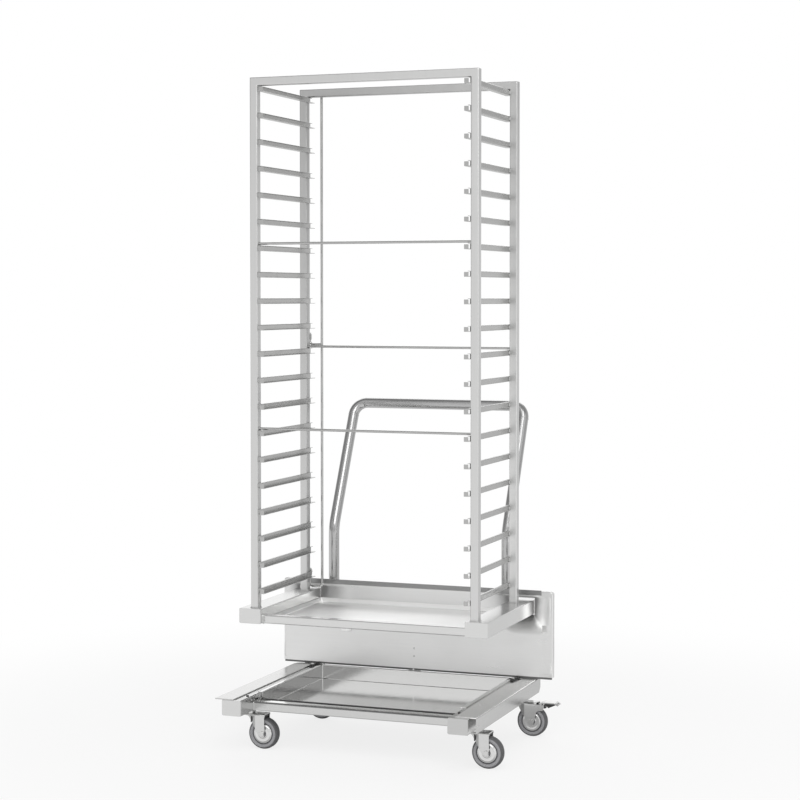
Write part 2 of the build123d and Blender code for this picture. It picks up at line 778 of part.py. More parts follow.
def make_tyre():
    half = wheel_width / 2
    inner = tyre_inner_radius
    points = [(inner, half - bead_inset), (wheel_radius - tyre_shoulder * 1.6, half),
              (wheel_radius - tyre_crown, half - tyre_shoulder), (wheel_radius, half - tyre_shoulder * 2)]
    return turned(points + [(r, -w) for r, w in reversed(points)])


def make_hub():
    half = wheel_width / 2
    boss = fork_inside / 2 - hub_boss_gap
    bore = axle_radius + axle_gap
    web = half - cover_recess
    step = cover_radius + hub_step
    rim = half - bead_inset
    points = [(bore, boss), (hub_boss_radius, boss), (hub_boss_radius, web), (step, web), (step, rim),
              (tyre_inner_radius, rim)]
    return turned(points + [(r, -w) for r, w in reversed(points)])


def make_wheel_covers():
    half = wheel_width / 2
    base = half - cover_recess
    top = half - cover_setback
    ring = hub_boss_radius
    points = [(ring, base), (cover_radius, base), (cover_radius, top - cover_bevel),
              (cover_radius - cover_bevel, top), (cover_radius - cover_slope, top + cover_height),
              (ring, top + cover_height)]
    cover = turned(points)
    return [cover, mirror(cover, about=Plane.XZ)]


os.makedirs("parts", exist_ok=True)
sides = {"left": -1, "right": 1}
ends = {"front": -1, "rear": 1}

# Rack frame
caps = []
for end, sy in ends.items():
    for side, sx in sides.items():
        upright, cap = make_upright(sx * upright_x, sy * upright_y)
        save(f"{end}_{side}_upright", upright)
        caps.append(cap)
    save(f"{end}_top_bar", make_top_bar(sy * upright_y))
save("upright_caps", *caps)

# Tray runners and stop rods
right_runners = [make_right_runner(level) for level in range(1, levels + 1)]
save("right_runners", *right_runners)
save("left_runners", *[mirrored(runner) for runner in right_runners])
save("stop_rods", make_stop_rod(upper_front_level, -upright_y), make_stop_rod(lower_front_level, -upright_y),
     make_stop_rod(rear_level, upright_y))

# Tray gate
save("gate_rod", make_gate())
save("gate_lugs", make_gate_lug(lug_low), make_gate_lug(lug_middle))

# Deck
right_rail, right_caps = make_rail(deck_rail_inner, deck_rail_outer, deck_rail_bottom, deck_rail_height,
                                   deck_rail_wall, deck_front, chassis_rear, True)
save("right_deck_rail", right_rail)
save("left_deck_rail", mirrored(right_rail))
bar_section = tube_section(deck_bar_side, deck_bar_side, upright_wall, upright_corner)
bar_half = deck_bar_side / 2
bar_plane = facing_x(-deck_rail_inner, deck_bar_front + bar_half, deck_rail_bottom + bar_half)
save("deck_front_bar", extrude(bar_plane * bar_section, amount=2 * deck_rail_inner))
save("deck_pan", make_deck_pan() + make_spout())

# Rear panel, posts and handle
save("rear_panel", make_rear_panel())
save("panel_top_strip", block(-strip_half_width, strip_half_width, panel_front - strip_thickness, panel_front,
                              strip_bottom, strip_top))
save("panel_screws", *make_panel_screws())
save("latch_bracket", make_latch_bracket() + make_panel_peg())
post = make_right_post()
save("rear_posts", mirrored(post), post)
save("push_handle", make_handle())
plug = make_handle_plug()
save("handle_plugs", mirrored(plug), plug)
clamps = [make_clamp(z) for z in clamp_heights]
save("handle_clamps", *clamps, *[mirrored(clamp) for clamp in clamps])

# Undercarriage
rail, rail_caps = make_right_chassis_rail()
hole = Pos(rail_hole_x, rail_hole_y, chassis_top) * Cylinder(rail_hole_diameter / 2, 4 * chassis_wall)
save("left_chassis_rail", mirrored(rail))
save("right_chassis_rail", rail - hole)
right_caps += rail_caps
save("rail_end_caps", *right_caps, *[mirrored(cap) for cap in right_caps])
save("chassis_front_bar", make_cross_bar(cross_bar_front, cross_bar_depth))
save("chassis_rear_bar", make_cross_bar(chassis_rear - rear_bar_depth, rear_bar_depth))
save("left_guide_plate", make_left_guide_plate())
save("right_guide_angle", make_right_guide_angle())
foot = make_foot_bracket()
save("foot_brackets", mirrored(foot), foot)
foot_bolt = make_foot_bolt()
save("foot_bolts", mirrored(foot_bolt), foot_bolt)
save("drip_tray", make_drip_tray())

# Castors
plate, kingpin, bolts = make_castor_plate(), make_kingpin(), make_castor_bolts()
axle, hub, tyre, covers = make_axle(), make_hub(), make_tyre(), make_wheel_covers()
forks = {"front": make_fork(False), "rear": make_fork(True)}
pedal = make_brake_pedal()
plates, pins, all_bolts = [], [], []
for end in ends:
    y = castor_front_y if end == "front" else castor_rear_y
    for side, sx in sides.items():
        place = Pos(sx * castor_x, y, 0)
        plates.append(place * plate)
        pins.append(place * kingpin)
        all_bolts += [place * bolt for bolt in bolts]
        name = f"{end}_{side}"
        save(f"{name}_fork", place * forks[end])
        save(f"{name}_axle", place * axle)
        save(f"{name}_hub", place * hub)
        save(f"{name}_tyre", place * tyre)
        save(f"{name}_wheel_covers", *[place * cover for cover in covers])
        if end == "rear":
            save(f"{name}_brake_pedal", place * pedal)
save("castor_plates", *plates)
save("castor_kingpins", *pins)
save("castor_bolts", *all_bolts)
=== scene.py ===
import json
import math
import bmesh
import bpy
import numpy as np
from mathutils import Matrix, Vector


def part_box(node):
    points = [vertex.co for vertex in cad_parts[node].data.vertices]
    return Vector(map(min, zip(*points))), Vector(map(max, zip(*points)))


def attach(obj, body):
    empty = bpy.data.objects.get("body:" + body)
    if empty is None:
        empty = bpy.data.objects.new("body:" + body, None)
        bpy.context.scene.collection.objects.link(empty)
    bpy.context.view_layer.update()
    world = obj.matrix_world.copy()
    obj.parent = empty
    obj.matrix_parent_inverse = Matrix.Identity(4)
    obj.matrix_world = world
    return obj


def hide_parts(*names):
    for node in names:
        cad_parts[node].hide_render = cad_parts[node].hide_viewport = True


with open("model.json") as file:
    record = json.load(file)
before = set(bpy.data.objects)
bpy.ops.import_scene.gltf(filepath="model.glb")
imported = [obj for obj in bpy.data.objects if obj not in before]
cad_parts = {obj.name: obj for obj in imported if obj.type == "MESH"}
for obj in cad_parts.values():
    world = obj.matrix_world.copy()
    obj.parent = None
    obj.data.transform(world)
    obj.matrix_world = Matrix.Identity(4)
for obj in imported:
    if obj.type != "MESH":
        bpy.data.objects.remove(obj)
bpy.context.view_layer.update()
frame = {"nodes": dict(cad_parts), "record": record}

scene = bpy.context.scene
scene.view_settings.view_transform = "Standard"
print("frame loaded:", len(frame["nodes"]), "nodes")

mm = 0.001      # one millimetre in metres

cameraSetup = {
    "place": (1.6644, -4.4315, 1.0752),
    "tiltDown": 1.844,      # degrees under level
    "turn": 20.581,         # degrees round +Z
    "lens": 87.542,
    "sensor": 36,
    "shiftY": -0.0515,
}


def link(name, data):   # a new object in the scene
    made = bpy.data.objects.new(name, data)
    scene.collection.objects.link(made)
    return made


camera = link("camera", bpy.data.cameras.new("camera"))
camera.location = cameraSetup["place"]
camera.rotation_euler = (math.radians(90 - cameraSetup["tiltDown"]), 0, math.radians(cameraSetup["turn"]))
camera.data.lens = cameraSetup["lens"]
camera.data.sensor_width = cameraSetup["sensor"]
camera.data.shift_y = cameraSetup["shiftY"]
scene.camera = camera


def add(tree, kind, values=(), **settings):   # one shader node; a value is a plain value or an output socket
    node = tree.nodes.new("ShaderNode" + kind)
    for name, setting in settings.items():
        setattr(node, name, setting)
    for slot, value in dict(values).items():
        if isinstance(value, bpy.types.NodeSocket):
            tree.links.new(value, node.inputs[slot])
        else:
            node.inputs[slot].default_value = value
    return node


def mathNode(tree, operation, *values):
    return add(tree, "Math", enumerate(values), operation=operation).outputs[0]


def smoothStep(tree, value, start, end, low=0.0, high=1.0):   # low up to start, high from end on
    ranges = {"Value": value, "From Min": start, "From Max": end, "To Min": low, "To Max": high}
    return add(tree, "MapRange", ranges, interpolation_type="SMOOTHSTEP").outputs["Result"]


def rampNode(tree, factor, stops):   # a grey Color Ramp with (place, level) stops
    ramp = add(tree, "ValToRGB", {"Fac": factor})
    ramp.color_ramp.interpolation = "EASE"
    elements = ramp.color_ramp.elements
    while len(elements) < len(stops):
        elements.new(0.5)
    for element, (place, level) in zip(elements, stops):
        element.position = place
        element.color = (level, level, level, 1)
    return ramp.outputs["Color"]


studio = {
    # turn round the trolley: 0 is behind it, 0.25 on its right, 0.5 in front of it, 0.75 on its left
    "round": [(0.0, 0.78), (0.06, 0.6), (0.14, 0.58), (0.25, 0.5), (0.36, 0.58), (0.44, 0.6), (0.5, 0.72),
              (0.557, 0.77), (0.6, 0.7), (0.66, 0.4), (0.75, 0.33), (0.86, 0.42), (0.92, 0.9), (0.945, 1.0),
              (1.0, 0.8)],
    # height: 0 is straight down, 0.5 level, 1 overhead
    "height": [(0.0, 1.0), (0.5, 1.0), (0.522, 0.78), (0.54, 0.71), (0.557, 0.98), (0.6, 0.95), (0.66, 0.78),
               (0.8, 0.64), (1.0, 0.6)],
    "fill": 1.3,
    "backdrop": (0.498, 0.522),   # heights between which the white backdrop gives way to the room
    "aim": (0, 0, 0.8),           # what every lamp faces
    "lamps": {
        # name: (place, width, height, watts)
        "frontBox": ((1.1, -2.9, 3.6), 2.8, 3.2, 56),
        "rightBox": ((3.4, -1.6, 2.0), 4.0, 4.0, 20),
        "rearBox": ((-1.2, 3.2, 3.4), 4.4, 2.6, 28),
    },
}


def makeWorld():
    world = bpy.data.worlds.new("studio")
    scene.world = world
    world.use_nodes = True
    tree = world.node_tree
    tree.nodes.clear()
    x, y, z = add(tree, "SeparateXYZ", {0: add(tree, "TexCoord").outputs["Generated"]}).outputs
    turn = mathNode(tree, "DIVIDE", mathNode(tree, "ARCTAN2", x, y), -2 * math.pi)
    share = mathNode(tree, "MODULO", mathNode(tree, "ADD", turn, 1.0), 1.0)
    roundTone = rampNode(tree, mathNode(tree, "SUBTRACT", 1.0, share), studio["round"])
    level = mathNode(tree, "ADD", mathNode(tree, "DIVIDE", mathNode(tree, "ARCSINE", z), math.pi), 0.5)
    heightTone = rampNode(tree, level, studio["height"])
    tone = add(tree, "Mix", data_type="RGBA", blend_type="MULTIPLY")
    tone.inputs["Factor"].default_value = 1
    tree.links.new(roundTone, tone.inputs["A"])
    tree.links.new(heightTone, tone.inputs["B"])
    room = add(tree, "Background", {"Color": tone.outputs["Result"], "Strength": studio["fill"]})
    white = add(tree, "Background", {"Color": (1, 1, 1, 1)})
    ray = add(tree, "LightPath").outputs
    mirrored = mathNode(tree, "MAXIMUM", ray["Is Glossy Ray"], ray["Is Transmission Ray"])
    mirrored = mathNode(tree, "MULTIPLY", mirrored, smoothStep(tree, level, *studio["backdrop"], 1.0, 0.0))
    seen = mathNode(tree, "MAXIMUM", ray["Is Camera Ray"], mirrored)
    both = add(tree, "MixShader", {"Fac": seen, 1: room.outputs[0], 2: white.outputs[0]})
    add(tree, "OutputWorld", {"Surface": both.outputs[0]})


def makeLamps():
    for name, (place, wide, high, watts) in studio["lamps"].items():
        lamp = bpy.data.lights.new(name, "AREA")
        lamp.shape = "RECTANGLE"
        lamp.size = wide
        lamp.size_y = high
        lamp.energy = watts
        holder = link(name, lamp)
        holder.location = place
        away = np.array(place, float) - studio["aim"]
        tilt = math.acos(away[2] / np.linalg.norm(away))
        holder.rotation_euler = (tilt, 0, math.atan2(away[1], away[0]) + math.pi / 2)


floorSetup = {
    "halfSide": 30.0,
    "colour": (0.93, 0.93, 0.93, 1),
    "whiteShare": 0.79,             # white near the trolley, which leaves its shadow
    "clearRadius": (0.7, 1.9),      # all white past these radii
    # metal shows the floor behind the trolley a little darker, between two distances along `towards`, as
    # painted shade
    "towards": (0.35, 0.94, 0.0),
    "behind": (0.2, 0.8),
    "behindShare": 0.2,
    # and painted shadow on the floor under it, darker still, inside this half width and half depth with a
    # soft edge
    "under": (0.4, 0.32),
    "underEdge": (0.8, 1.25),
    "underShare": 0.58,
}


def makeFloor():
    half = floorSetup["halfSide"]
    mesh = bpy.data.meshes.new("floor")
    corners = [(-half, -half, 0), (half, -half, 0), (half, half, 0), (-half, half, 0)]
    mesh.from_pydata(corners, [], [(0, 1, 2, 3)])
    floor = link("floor", mesh)
    material = bpy.data.materials.new("pale floor")
    material.use_nodes = True
    tree = material.node_tree
    tree.nodes.clear()
    ray = add(tree, "LightPath").outputs
    place = add(tree, "TexCoord").outputs["Object"]
    along = add(tree, "VectorMath", {0: place, 1: floorSetup["towards"]},
                operation="DOT_PRODUCT").outputs["Value"]
    behind = smoothStep(tree, along, *floorSetup["behind"], 0.0, floorSetup["behindShare"])
    x, y, _ = add(tree, "SeparateXYZ", {0: place}).outputs
    across, deep = (mathNode(tree, "DIVIDE", mathNode(tree, "ABSOLUTE", side), size)
                    for side, size in zip((x, y), floorSetup["under"]))
    under = smoothStep(tree, mathNode(tree, "MAXIMUM", across, deep), *floorSetup["underEdge"],
                       floorSetup["underShare"], 0.0)
    # Glossy rays see the floor's white dimmed by painted shade behind the trolley and painted shadow under it
    dimmed = mathNode(tree, "MULTIPLY", ray["Is Glossy Ray"], mathNode(tree, "MAXIMUM", behind, under))
    white = add(tree, "Emission", {"Strength": mathNode(tree, "SUBTRACT", 1.0, dimmed)})
    reach = add(tree, "VectorMath", {0: place}, operation="LENGTH").outputs["Value"]
    fade = smoothStep(tree, reach, *floorSetup["clearRadius"], floorSetup["whiteShare"], 1.0)
    seen = mathNode(tree, "MAXIMUM", ray["Is Camera Ray"], ray["Is Glossy Ray"])
    seen = mathNode(tree, "MAXIMUM", seen, ray["Is Transmission Ray"])
    matt = add(tree, "BsdfDiffuse", {"Color": floorSetup["colour"]})
    both = add(tree, "MixShader", {"Fac": mathNode(tree, "MULTIPLY", seen, fade), 1: matt.outputs[0],
                                   2: white.outputs[0]})
    add(tree, "OutputMaterial", {"Surface": both.outputs[0]})
    mesh.materials.append(material)


makeWorld()
makeLamps()
makeFloor()
print("studio ready")


def newGroup(name, numbers, results):   # a node group with a Vector input, numbers with defaults, and results
    group = bpy.data.node_groups.new(name, "ShaderNodeTree")
    group.interface.new_socket(name="Vector", in_out="INPUT", socket_type="NodeSocketVector")
    for number, default in numbers.items():
        socket = group.interface.new_socket(name=number, in_out="INPUT", socket_type="NodeSocketFloat")
        socket.default_value = default
    for result in results:
        group.interface.new_socket(name=result, in_out="OUTPUT", socket_type="NodeSocketFloat")
    return group, group.nodes.new("NodeGroupInput").outputs, group.nodes.new("NodeGroupOutput").inputs


def centred(tree, value):   # a 0 to 1 value as -1 to 1
    return mathNode(tree, "MULTIPLY", mathNode(tree, "SUBTRACT", value, 0.5), 2.0)


def makeGrainGroup():
    # Brushed grain: noise stretched along the first coordinate, in a fine and a coarse band
    group, given, result = newGroup("brushedGrain", {"Along": 12.0, "Across": 1800.0}, ("Grain", "Bands"))
    x, y, z = add(group, "SeparateXYZ", {0: given["Vector"]}).outputs
    for name, share, detail in (("Grain", 1.0, 3.0), ("Bands", 0.06, 4.0)):
        along = mathNode(group, "MULTIPLY", given["Along"], share ** 0.5)
        across = mathNode(group, "MULTIPLY", given["Across"], share)
        scaled = [mathNode(group, "MULTIPLY", value, scale)
                  for value, scale in ((x, along), (y, across), (z, across))]
        stretched = add(group, "CombineXYZ", enumerate(scaled)).outputs[0]
        noise = add(group, "TexNoise", {"Vector": stretched, "Scale": 1.0, "Detail": detail,
                                        "Roughness": 0.6})
        group.links.new(centred(group, noise.outputs["Fac"]), result[name])
    return group


def makeMarksGroup():
    # Handling marks: soft clouds, and small smears where the noise is highest
    group, given, result = newGroup("handlingMarks", {"Scale": 9.0}, ("Clouds", "Smears"))
    cloud = add(group, "TexNoise", {"Vector": given["Vector"], "Scale": given["Scale"], "Detail": 3.0,
                                    "Distortion": 0.4})
    group.links.new(centred(group, cloud.outputs["Fac"]), result["Clouds"])
    smear = add(group, "TexNoise", {"Vector": given["Vector"], "Detail": 5.0, "Roughness": 0.65,
                                    "Scale": mathNode(group, "MULTIPLY", given["Scale"], 4.0)})
    group.links.new(smoothStep(group, smear.outputs["Fac"], 0.56, 0.74), result["Smears"])
    return group


grainGroup = makeGrainGroup()
marksGroup = makeMarksGroup()


def objectPlace(tree, order="XYZ"):   # Object coordinates with their axes in the given order
    split = add(tree, "SeparateXYZ", {0: add(tree, "TexCoord").outputs["Object"]}).outputs
    axes = {target: split[axis] for target, axis in zip("XYZ", order)}
    return add(tree, "CombineXYZ", axes).outputs["Vector"]


def brushedSteel(name, finish):
    # Steel whose colour and roughness follow the grain, the coarse bands and the handling marks
    material = bpy.data.materials.new(name)
    material.use_nodes = True
    tree = material.node_tree
    metal = tree.nodes["Principled BSDF"].inputs
    metal["Metallic"].default_value = finish["metallic"]
    grain = add(tree, "Group", {"Vector": objectPlace(tree, finish["order"]), "Along": finish["along"],
                                "Across": finish["across"]}, node_tree=grainGroup).outputs
    marks = add(tree, "Group", {"Vector": objectPlace(tree), "Scale": finish["markScale"]},
                node_tree=marksGroup).outputs
    tone = mathNode(tree, "MULTIPLY_ADD", grain["Grain"], finish["grainTone"], 1.0)
    tone = mathNode(tree, "MULTIPLY_ADD", grain["Bands"], finish["bandTone"], tone)
    tone = mathNode(tree, "MULTIPLY_ADD", marks["Clouds"], finish["cloudTone"], tone)
    if finish["paintedLight"]:   # painted light and shade: the piece's own tone, stored on its points
        stored = add(tree, "Attribute", attribute_name="tone")
        tone = mathNode(tree, "MULTIPLY", tone, stored.outputs["Fac"])
    colour = add(tree, "VectorMath", {0: finish["colour"], "Scale": tone}, operation="SCALE")
    tree.links.new(colour.outputs["Vector"], metal["Base Color"])
    rough = mathNode(tree, "MULTIPLY_ADD", grain["Bands"], finish["roughSpread"], finish["rough"])
    rough = mathNode(tree, "MULTIPLY_ADD", marks["Clouds"], finish["roughSpread"], rough)
    rough = mathNode(tree, "MULTIPLY_ADD", marks["Smears"], finish["smear"], rough)
    tree.links.new(rough, metal["Roughness"])
    bump = add(tree, "Bump", {"Strength": finish["bump"], "Distance": finish["bumpDepth"],
                              "Height": grain["Grain"]})
    if finish["lean"]:   # a slightly bowed sheet: its height rises evenly with Z
        height = add(tree, "SeparateXYZ", {0: objectPlace(tree)}).outputs["Z"]
        lean = add(tree, "Bump", {"Strength": 1.0, "Distance": finish["lean"], "Height": height}, invert=True)
        tree.links.new(lean.outputs["Normal"], bump.inputs["Normal"])
    tree.links.new(bump.outputs["Normal"], metal["Normal"])
    return material


plainFinish = {"along": 10.0, "across": 1700.0, "grainTone": 0.05, "bandTone": 0.03, "cloudTone": 0.03,
               "roughSpread": 0.05, "smear": 0.05, "bump": 0.1, "bumpDepth": 0.00004, "markScale": 7.0}


def finish(level, rough, order="XYZ", blue=-0.005, metallic=1.0, paintedLight=False, lean=0.0):
    # A grey level with a little more or less blue, its roughness and the order of its grain's axes
    return dict(plainFinish, colour=(level, level, level + blue), rough=rough, order=order, metallic=metallic,
                paintedLight=paintedLight, lean=lean)


# Finishes with paintedLight multiply their colour by the piece's tone, which holds painted light and shade
finishes = {
    "rack_steel": finish(0.67, 0.32, "ZXY"),
    "runner_steel": finish(0.48, 0.26, "YZX"),
    "rod_steel": finish(0.5, 0.22),
    "deck_steel": finish(0.68, 0.22),
    "pan_steel": finish(0.84, 0.4, paintedLight=True),
    "panel_steel": finish(0.78, 0.3, lean=0.09),
    "handle_steel": finish(0.48, 0.18, blue=0),
    "chassis_steel": finish(0.63, 0.24, "YXZ"),
    "polished_tray": finish(0.82, 0.1, "YXZ"),
    "castor_steel": finish(0.67, 0.22),
    "fork_steel": finish(0.67, 0.22, paintedLight=True),
    "cap_steel": finish(0.68, 0.22, paintedLight=True),
    "frame_steel": finish(0.67, 0.32, "ZXY", paintedLight=True),
    "guide_steel": finish(0.63, 0.24, "YXZ", paintedLight=True),
    # a copy of chassis_steel at its own level for the right chassis rail, as painted light
    "right_rail_lit_steel": finish(0.64, 0.24, "YXZ"),
    "tray_steel": finish(0.8, 0.12, "YXZ", paintedLight=True),
    "cover_steel": finish(0.76, 0.2),
    "pedal_steel": finish(0.67, 0.22),
    "bright_fixings": finish(0.67, 0.2),
    "dark_strip": finish(0.34, 0.35, blue=0),
    "black_bracket": finish(0.06, 0.4, blue=0, metallic=0.0),
    "dark_screws": finish(0.08, 0.35, blue=0, metallic=0.0),
    "grey_rubber": finish(0.16, 0.6, blue=0, metallic=0.0),
    "black_plug": finish(0.04, 0.5, blue=0, metallic=0.0),
    "tyre_grey": finish(0.11, 0.6, blue=0.004, metallic=0.0),
    "hub_grey": finish(0.16, 0.5, blue=0.01, metallic=0.0),
}
materials = {name: brushedSteel(name, look) for name, look in finishes.items()}
tyreLook = {"edge": (0.0105, 0.0125), "tread": 1.0, "wall": 3.3}


def lightenTyreWalls():
    # The tyre's colour times a level that rises from the tread to the side walls; u is 0 on its middle line
    tree = materials["tyre_grey"].node_tree
    colour = tree.nodes["Principled BSDF"].inputs["Base Color"]
    u = add(tree, "SeparateXYZ", {0: add(tree, "TexCoord").outputs["UV"]}).outputs["X"]
    fromMiddle = mathNode(tree, "ABSOLUTE", u)
    wall = smoothStep(tree, fromMiddle, *tyreLook["edge"], tyreLook["tread"], tyreLook["wall"])
    scaled = add(tree, "VectorMath", {0: colour.links[0].from_socket, "Scale": wall}, operation="SCALE")
    tree.links.new(scaled.outputs["Vector"], colour)


lightenTyreWalls()

# Surfaces are worked out in millimetres from the rack's middle, as far as makePiece
outerNodes = ("front_left_upright", "rear_right_upright")
rackMiddle = sum(np.array(corner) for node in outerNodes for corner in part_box(node)) / 4 * (1, 1, 0)
tubeCorner = 3.0     # outer corner of the square and box sections


def boxOf(node):   # lowest and highest corner of a CAD node
    return [(np.array(corner) - rackMiddle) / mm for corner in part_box(node)]


def middleOf(node):
    return sum(boxOf(node)) / 2


def quarterTurn(count):
    return np.linspace(0, math.pi / 2, count)


def unitAt(angle):
    return np.stack([np.cos(angle), np.sin(angle)], 1)


def roundedLoop(wide, high, radius, steps=5):
    # Rounded rectangle, counter-clockwise: each corner is its centre plus radius times (cos t, sin t)
    core = np.array([wide / 2 - radius, high / 2 - radius])
    parts = []
    for quarter, signs in enumerate(((1, 1), (-1, 1), (-1, -1), (1, -1))):
        parts.append(core * signs + radius * unitAt(quarterTurn(steps + 1) + quarter * math.pi / 2))
    return np.concatenate(parts)


def circleLoop(radius, steps=24):
    return radius * unitAt(np.linspace(0, 2 * math.pi, steps, endpoint=False))


def standing(loop, level, facing="z"):   # a flat loop as points; level is their third coordinate
    loop = np.asarray(loop, float)
    order = {"x": (2, 0, 1), "y": (0, 2, 1), "z": (0, 1, 2)}[facing]
    levels = np.broadcast_to(np.asarray(level, float).reshape(-1, 1), (len(loop), 1))
    return np.concatenate([loop, levels], 1)[:, order]


def bentLine(points, radius, step=math.radians(7)):
    # Polyline whose inner corners are arcs: an arc leaves its run at radius * tan(turn / 2) from the corner
    points = np.asarray(points, float)
    radii = np.broadcast_to(np.asarray(radius, float), (len(points) - 2,))
    line = [points[:1]]
    for before, corner, after, bend in zip(points[:-2], points[1:-1], points[2:], radii):
        inward = (before - corner) / np.linalg.norm(before - corner)
        outward = (after - corner) / np.linalg.norm(after - corner)
        turn = math.pi - math.acos(np.clip(inward @ outward, -1, 1))
        start = corner + inward * bend * math.tan(turn / 2)
        first = -(inward + outward) + (inward + outward) @ inward * inward
        first /= np.linalg.norm(first)
        angle = np.linspace(0, turn, max(2, int(round(turn / step)) + 1))[:, None]
        line.append(start + bend * (first * (np.cos(angle) - 1) - inward * np.sin(angle)))
    line.append(points[-1:])
    return np.concatenate(line)


def sheetLoop(points, bend, thickness):
    # Folded sheet: its bent middle line moved half a thickness to either side, with half-round edges
    line = bentLine(points, bend, math.radians(15))
    runs = np.diff(line, axis=0)
    normals = np.stack([-runs[:, 1], runs[:, 0]], 1) / np.linalg.norm(runs, axis=1)[:, None]
    mean = np.concatenate([normals[:1], normals[:-1] + normals[1:], normals[-1:]])
    mean /= np.linalg.norm(mean, axis=1)[:, None]
    half = thickness / 2
    reach = half / np.sum(mean * np.concatenate([normals[:1], normals]), axis=1)[:, None]
    turn = np.linspace(-math.pi / 2, math.pi / 2, 5)[1:-1, None]
    last, first = runs[-1] / np.linalg.norm(runs[-1]), runs[0] / np.linalg.norm(runs[0])
    line = np.concatenate([line[:1] + first * half, line[1:-1], line[-1:] - last * half])
    end = line[-1] + half * (np.cos(turn) * last + np.sin(turn) * mean[-1])
    start = line[0] - half * (np.cos(turn) * first + np.sin(turn) * mean[0])
    return np.concatenate([line - mean * reach, end, (line + mean * reach)[::-1], start])


def gridShape(grid, closedAcross=True, closedAlong=False, caps=True, keep=None):
    # Quads between neighbouring points of a grid (along, across); u runs along and v across. keep leaves
    # cells out
    along, across = grid.shape[:2]
    i = np.arange(along if closedAlong else along - 1)[:, None]
    j = np.arange(across if closedAcross else across - 1)[None, :]
    ni, nj = (i + 1) % along, (j + 1) % across
    quads = np.stack([i * across + j, i * across + nj, ni * across + nj, ni * across + j], -1)
    u = np.concatenate([[0], np.cumsum(np.linalg.norm(np.diff(grid.mean(1), axis=0), axis=1))])
    around = np.linalg.norm(np.roll(grid, -1, axis=1) - grid, axis=2).max(0)
    v = np.concatenate([[0], np.cumsum(around)])
    u = np.append(u, u[-1] + np.linalg.norm(grid[0].mean(0) - grid[-1].mean(0)))
    ones = np.ones((len(i), j.shape[1]))
    uv = np.stack([np.stack([u[i + a] * ones, v[j + b] * ones], -1)
                   for a, b in ((0, 0), (0, 1), (1, 1), (1, 0))], 2)
    chosen = np.ones(quads.shape[:2], bool) if keep is None else keep
    shape = {"points": grid.reshape(-1, 3), "faces": quads[chosen].tolist(), "uv": uv[chosen].reshape(-1, 2)}
    if caps and closedAcross and not closedAlong:
        last = (along - 1) * across
        shape["faces"] += [list(range(across))[::-1], list(range(last, last + across))]
        cap = np.stack([np.linalg.norm(grid[0] - grid[0].mean(0), axis=1), v[:-1]], 1)
        shape["uv"] = np.concatenate([shape["uv"], cap[::-1], cap])
    return shape


def carry(loop, path, across, closed=False, scale=None, soft=0.0):
    # A loop carried along a path: point = path + x * side + y * up, slid along the run to the bisecting
    # plane, so a sharp corner is a mitre; with soft, the mitre ring is repeated along a small arc
    path = np.asarray(path, float)
    runs = np.diff(np.concatenate([path, path[:1]]) if closed else path, axis=0)
    runs = runs / np.linalg.norm(runs, axis=1)[:, None]
    side = np.asarray(across, float) - (np.asarray(across) @ runs[0]) * runs[0]
    side /= np.linalg.norm(side)
    rings = []
    for number, place in enumerate(path):
        run = runs[min(number, len(runs) - 1)]
        before = runs[number - 1] if number or closed else run
        if number:
            side = side - (side @ before) * before
            side /= np.linalg.norm(side)
        up = np.cross(before, side)
        size = 1.0 if scale is None else scale[number]
        ring = size * (loop[:, :1] * side + loop[:, 1:] * up)
        plane = before + run
        ring = ring - (ring @ plane)[:, None] / (before @ plane) * before
        turning = np.cross(before, run)
        bend = np.linalg.norm(turning)
        if soft and bend > 0.3:
            arc = bentLine([place - before * 9, place, place + run * 9], soft)[1:-1]
            rings += [ring + point for point in arc]
        else:
            rings.append(place + ring)
        if bend > 1e-9:
            axis, cosine = turning / bend, before @ run
            side = side * cosine + np.cross(axis, side) * bend + axis * (axis @ side) * (1 - cosine)
    return gridShape(np.array(rings), closedAlong=closed)


def barAlongX(loop, ends, y, z, across=(0, 0, 1)):   # a straight bar between two values of x
    return carry(loop, [(x, y, z) for x in ends], across)


def slab(outline, low, high, facing="z"):
    # Flat plate: an outline of two coordinates between two levels of the third
    outline = np.asarray(outline, float)
    shape = gridShape(np.array([standing(outline, level, facing) for level in (low, high)]))
    area = outline[:, 0] @ np.roll(outline[:, 1], -1) - outline[:, 1] @ np.roll(outline[:, 0], -1)
    if (area < 0) != (facing == "y"):
        shape["faces"] = [face[::-1] for face in shape["faces"]]
    return shape


def turned(profile, centre, axis, steps=48):
    # (radius, height) pairs swept round an axis: centre + height * axis + radius * (cos t, sin t)
    profile = np.asarray(profile, float)
    axis = np.asarray(axis, float) / np.linalg.norm(axis)
    side = np.cross(axis, (0, 0, 1) if abs(axis[2]) < 0.9 else (1, 0, 0))
    side /= np.linalg.norm(side)
    up = np.cross(axis, side)
    angle = np.linspace(0, 2 * math.pi, steps, endpoint=False)
    ring = np.cos(angle)[:, None] * side + np.sin(angle)[:, None] * up
    grid = np.asarray(centre) + profile[:, 1, None, None] * axis + profile[:, 0, None, None] * ring
    closed = np.allclose(profile[0], profile[-1])
    return gridShape(grid[:-1] if closed else grid, closedAlong=closed)


def joined(*shapes):
    faces, start = [], 0
    for shape in shapes:
        faces += [[index + start for index in face] for face in shape["faces"]]
        start += len(shape["points"])
    return {"points": np.concatenate([shape["points"] for shape in shapes]), "faces": faces,
            "uv": np.concatenate([shape["uv"] for shape in shapes])}


def moved(shape, offset):
    return {**shape, "points": shape["points"] + np.asarray(offset, float)}


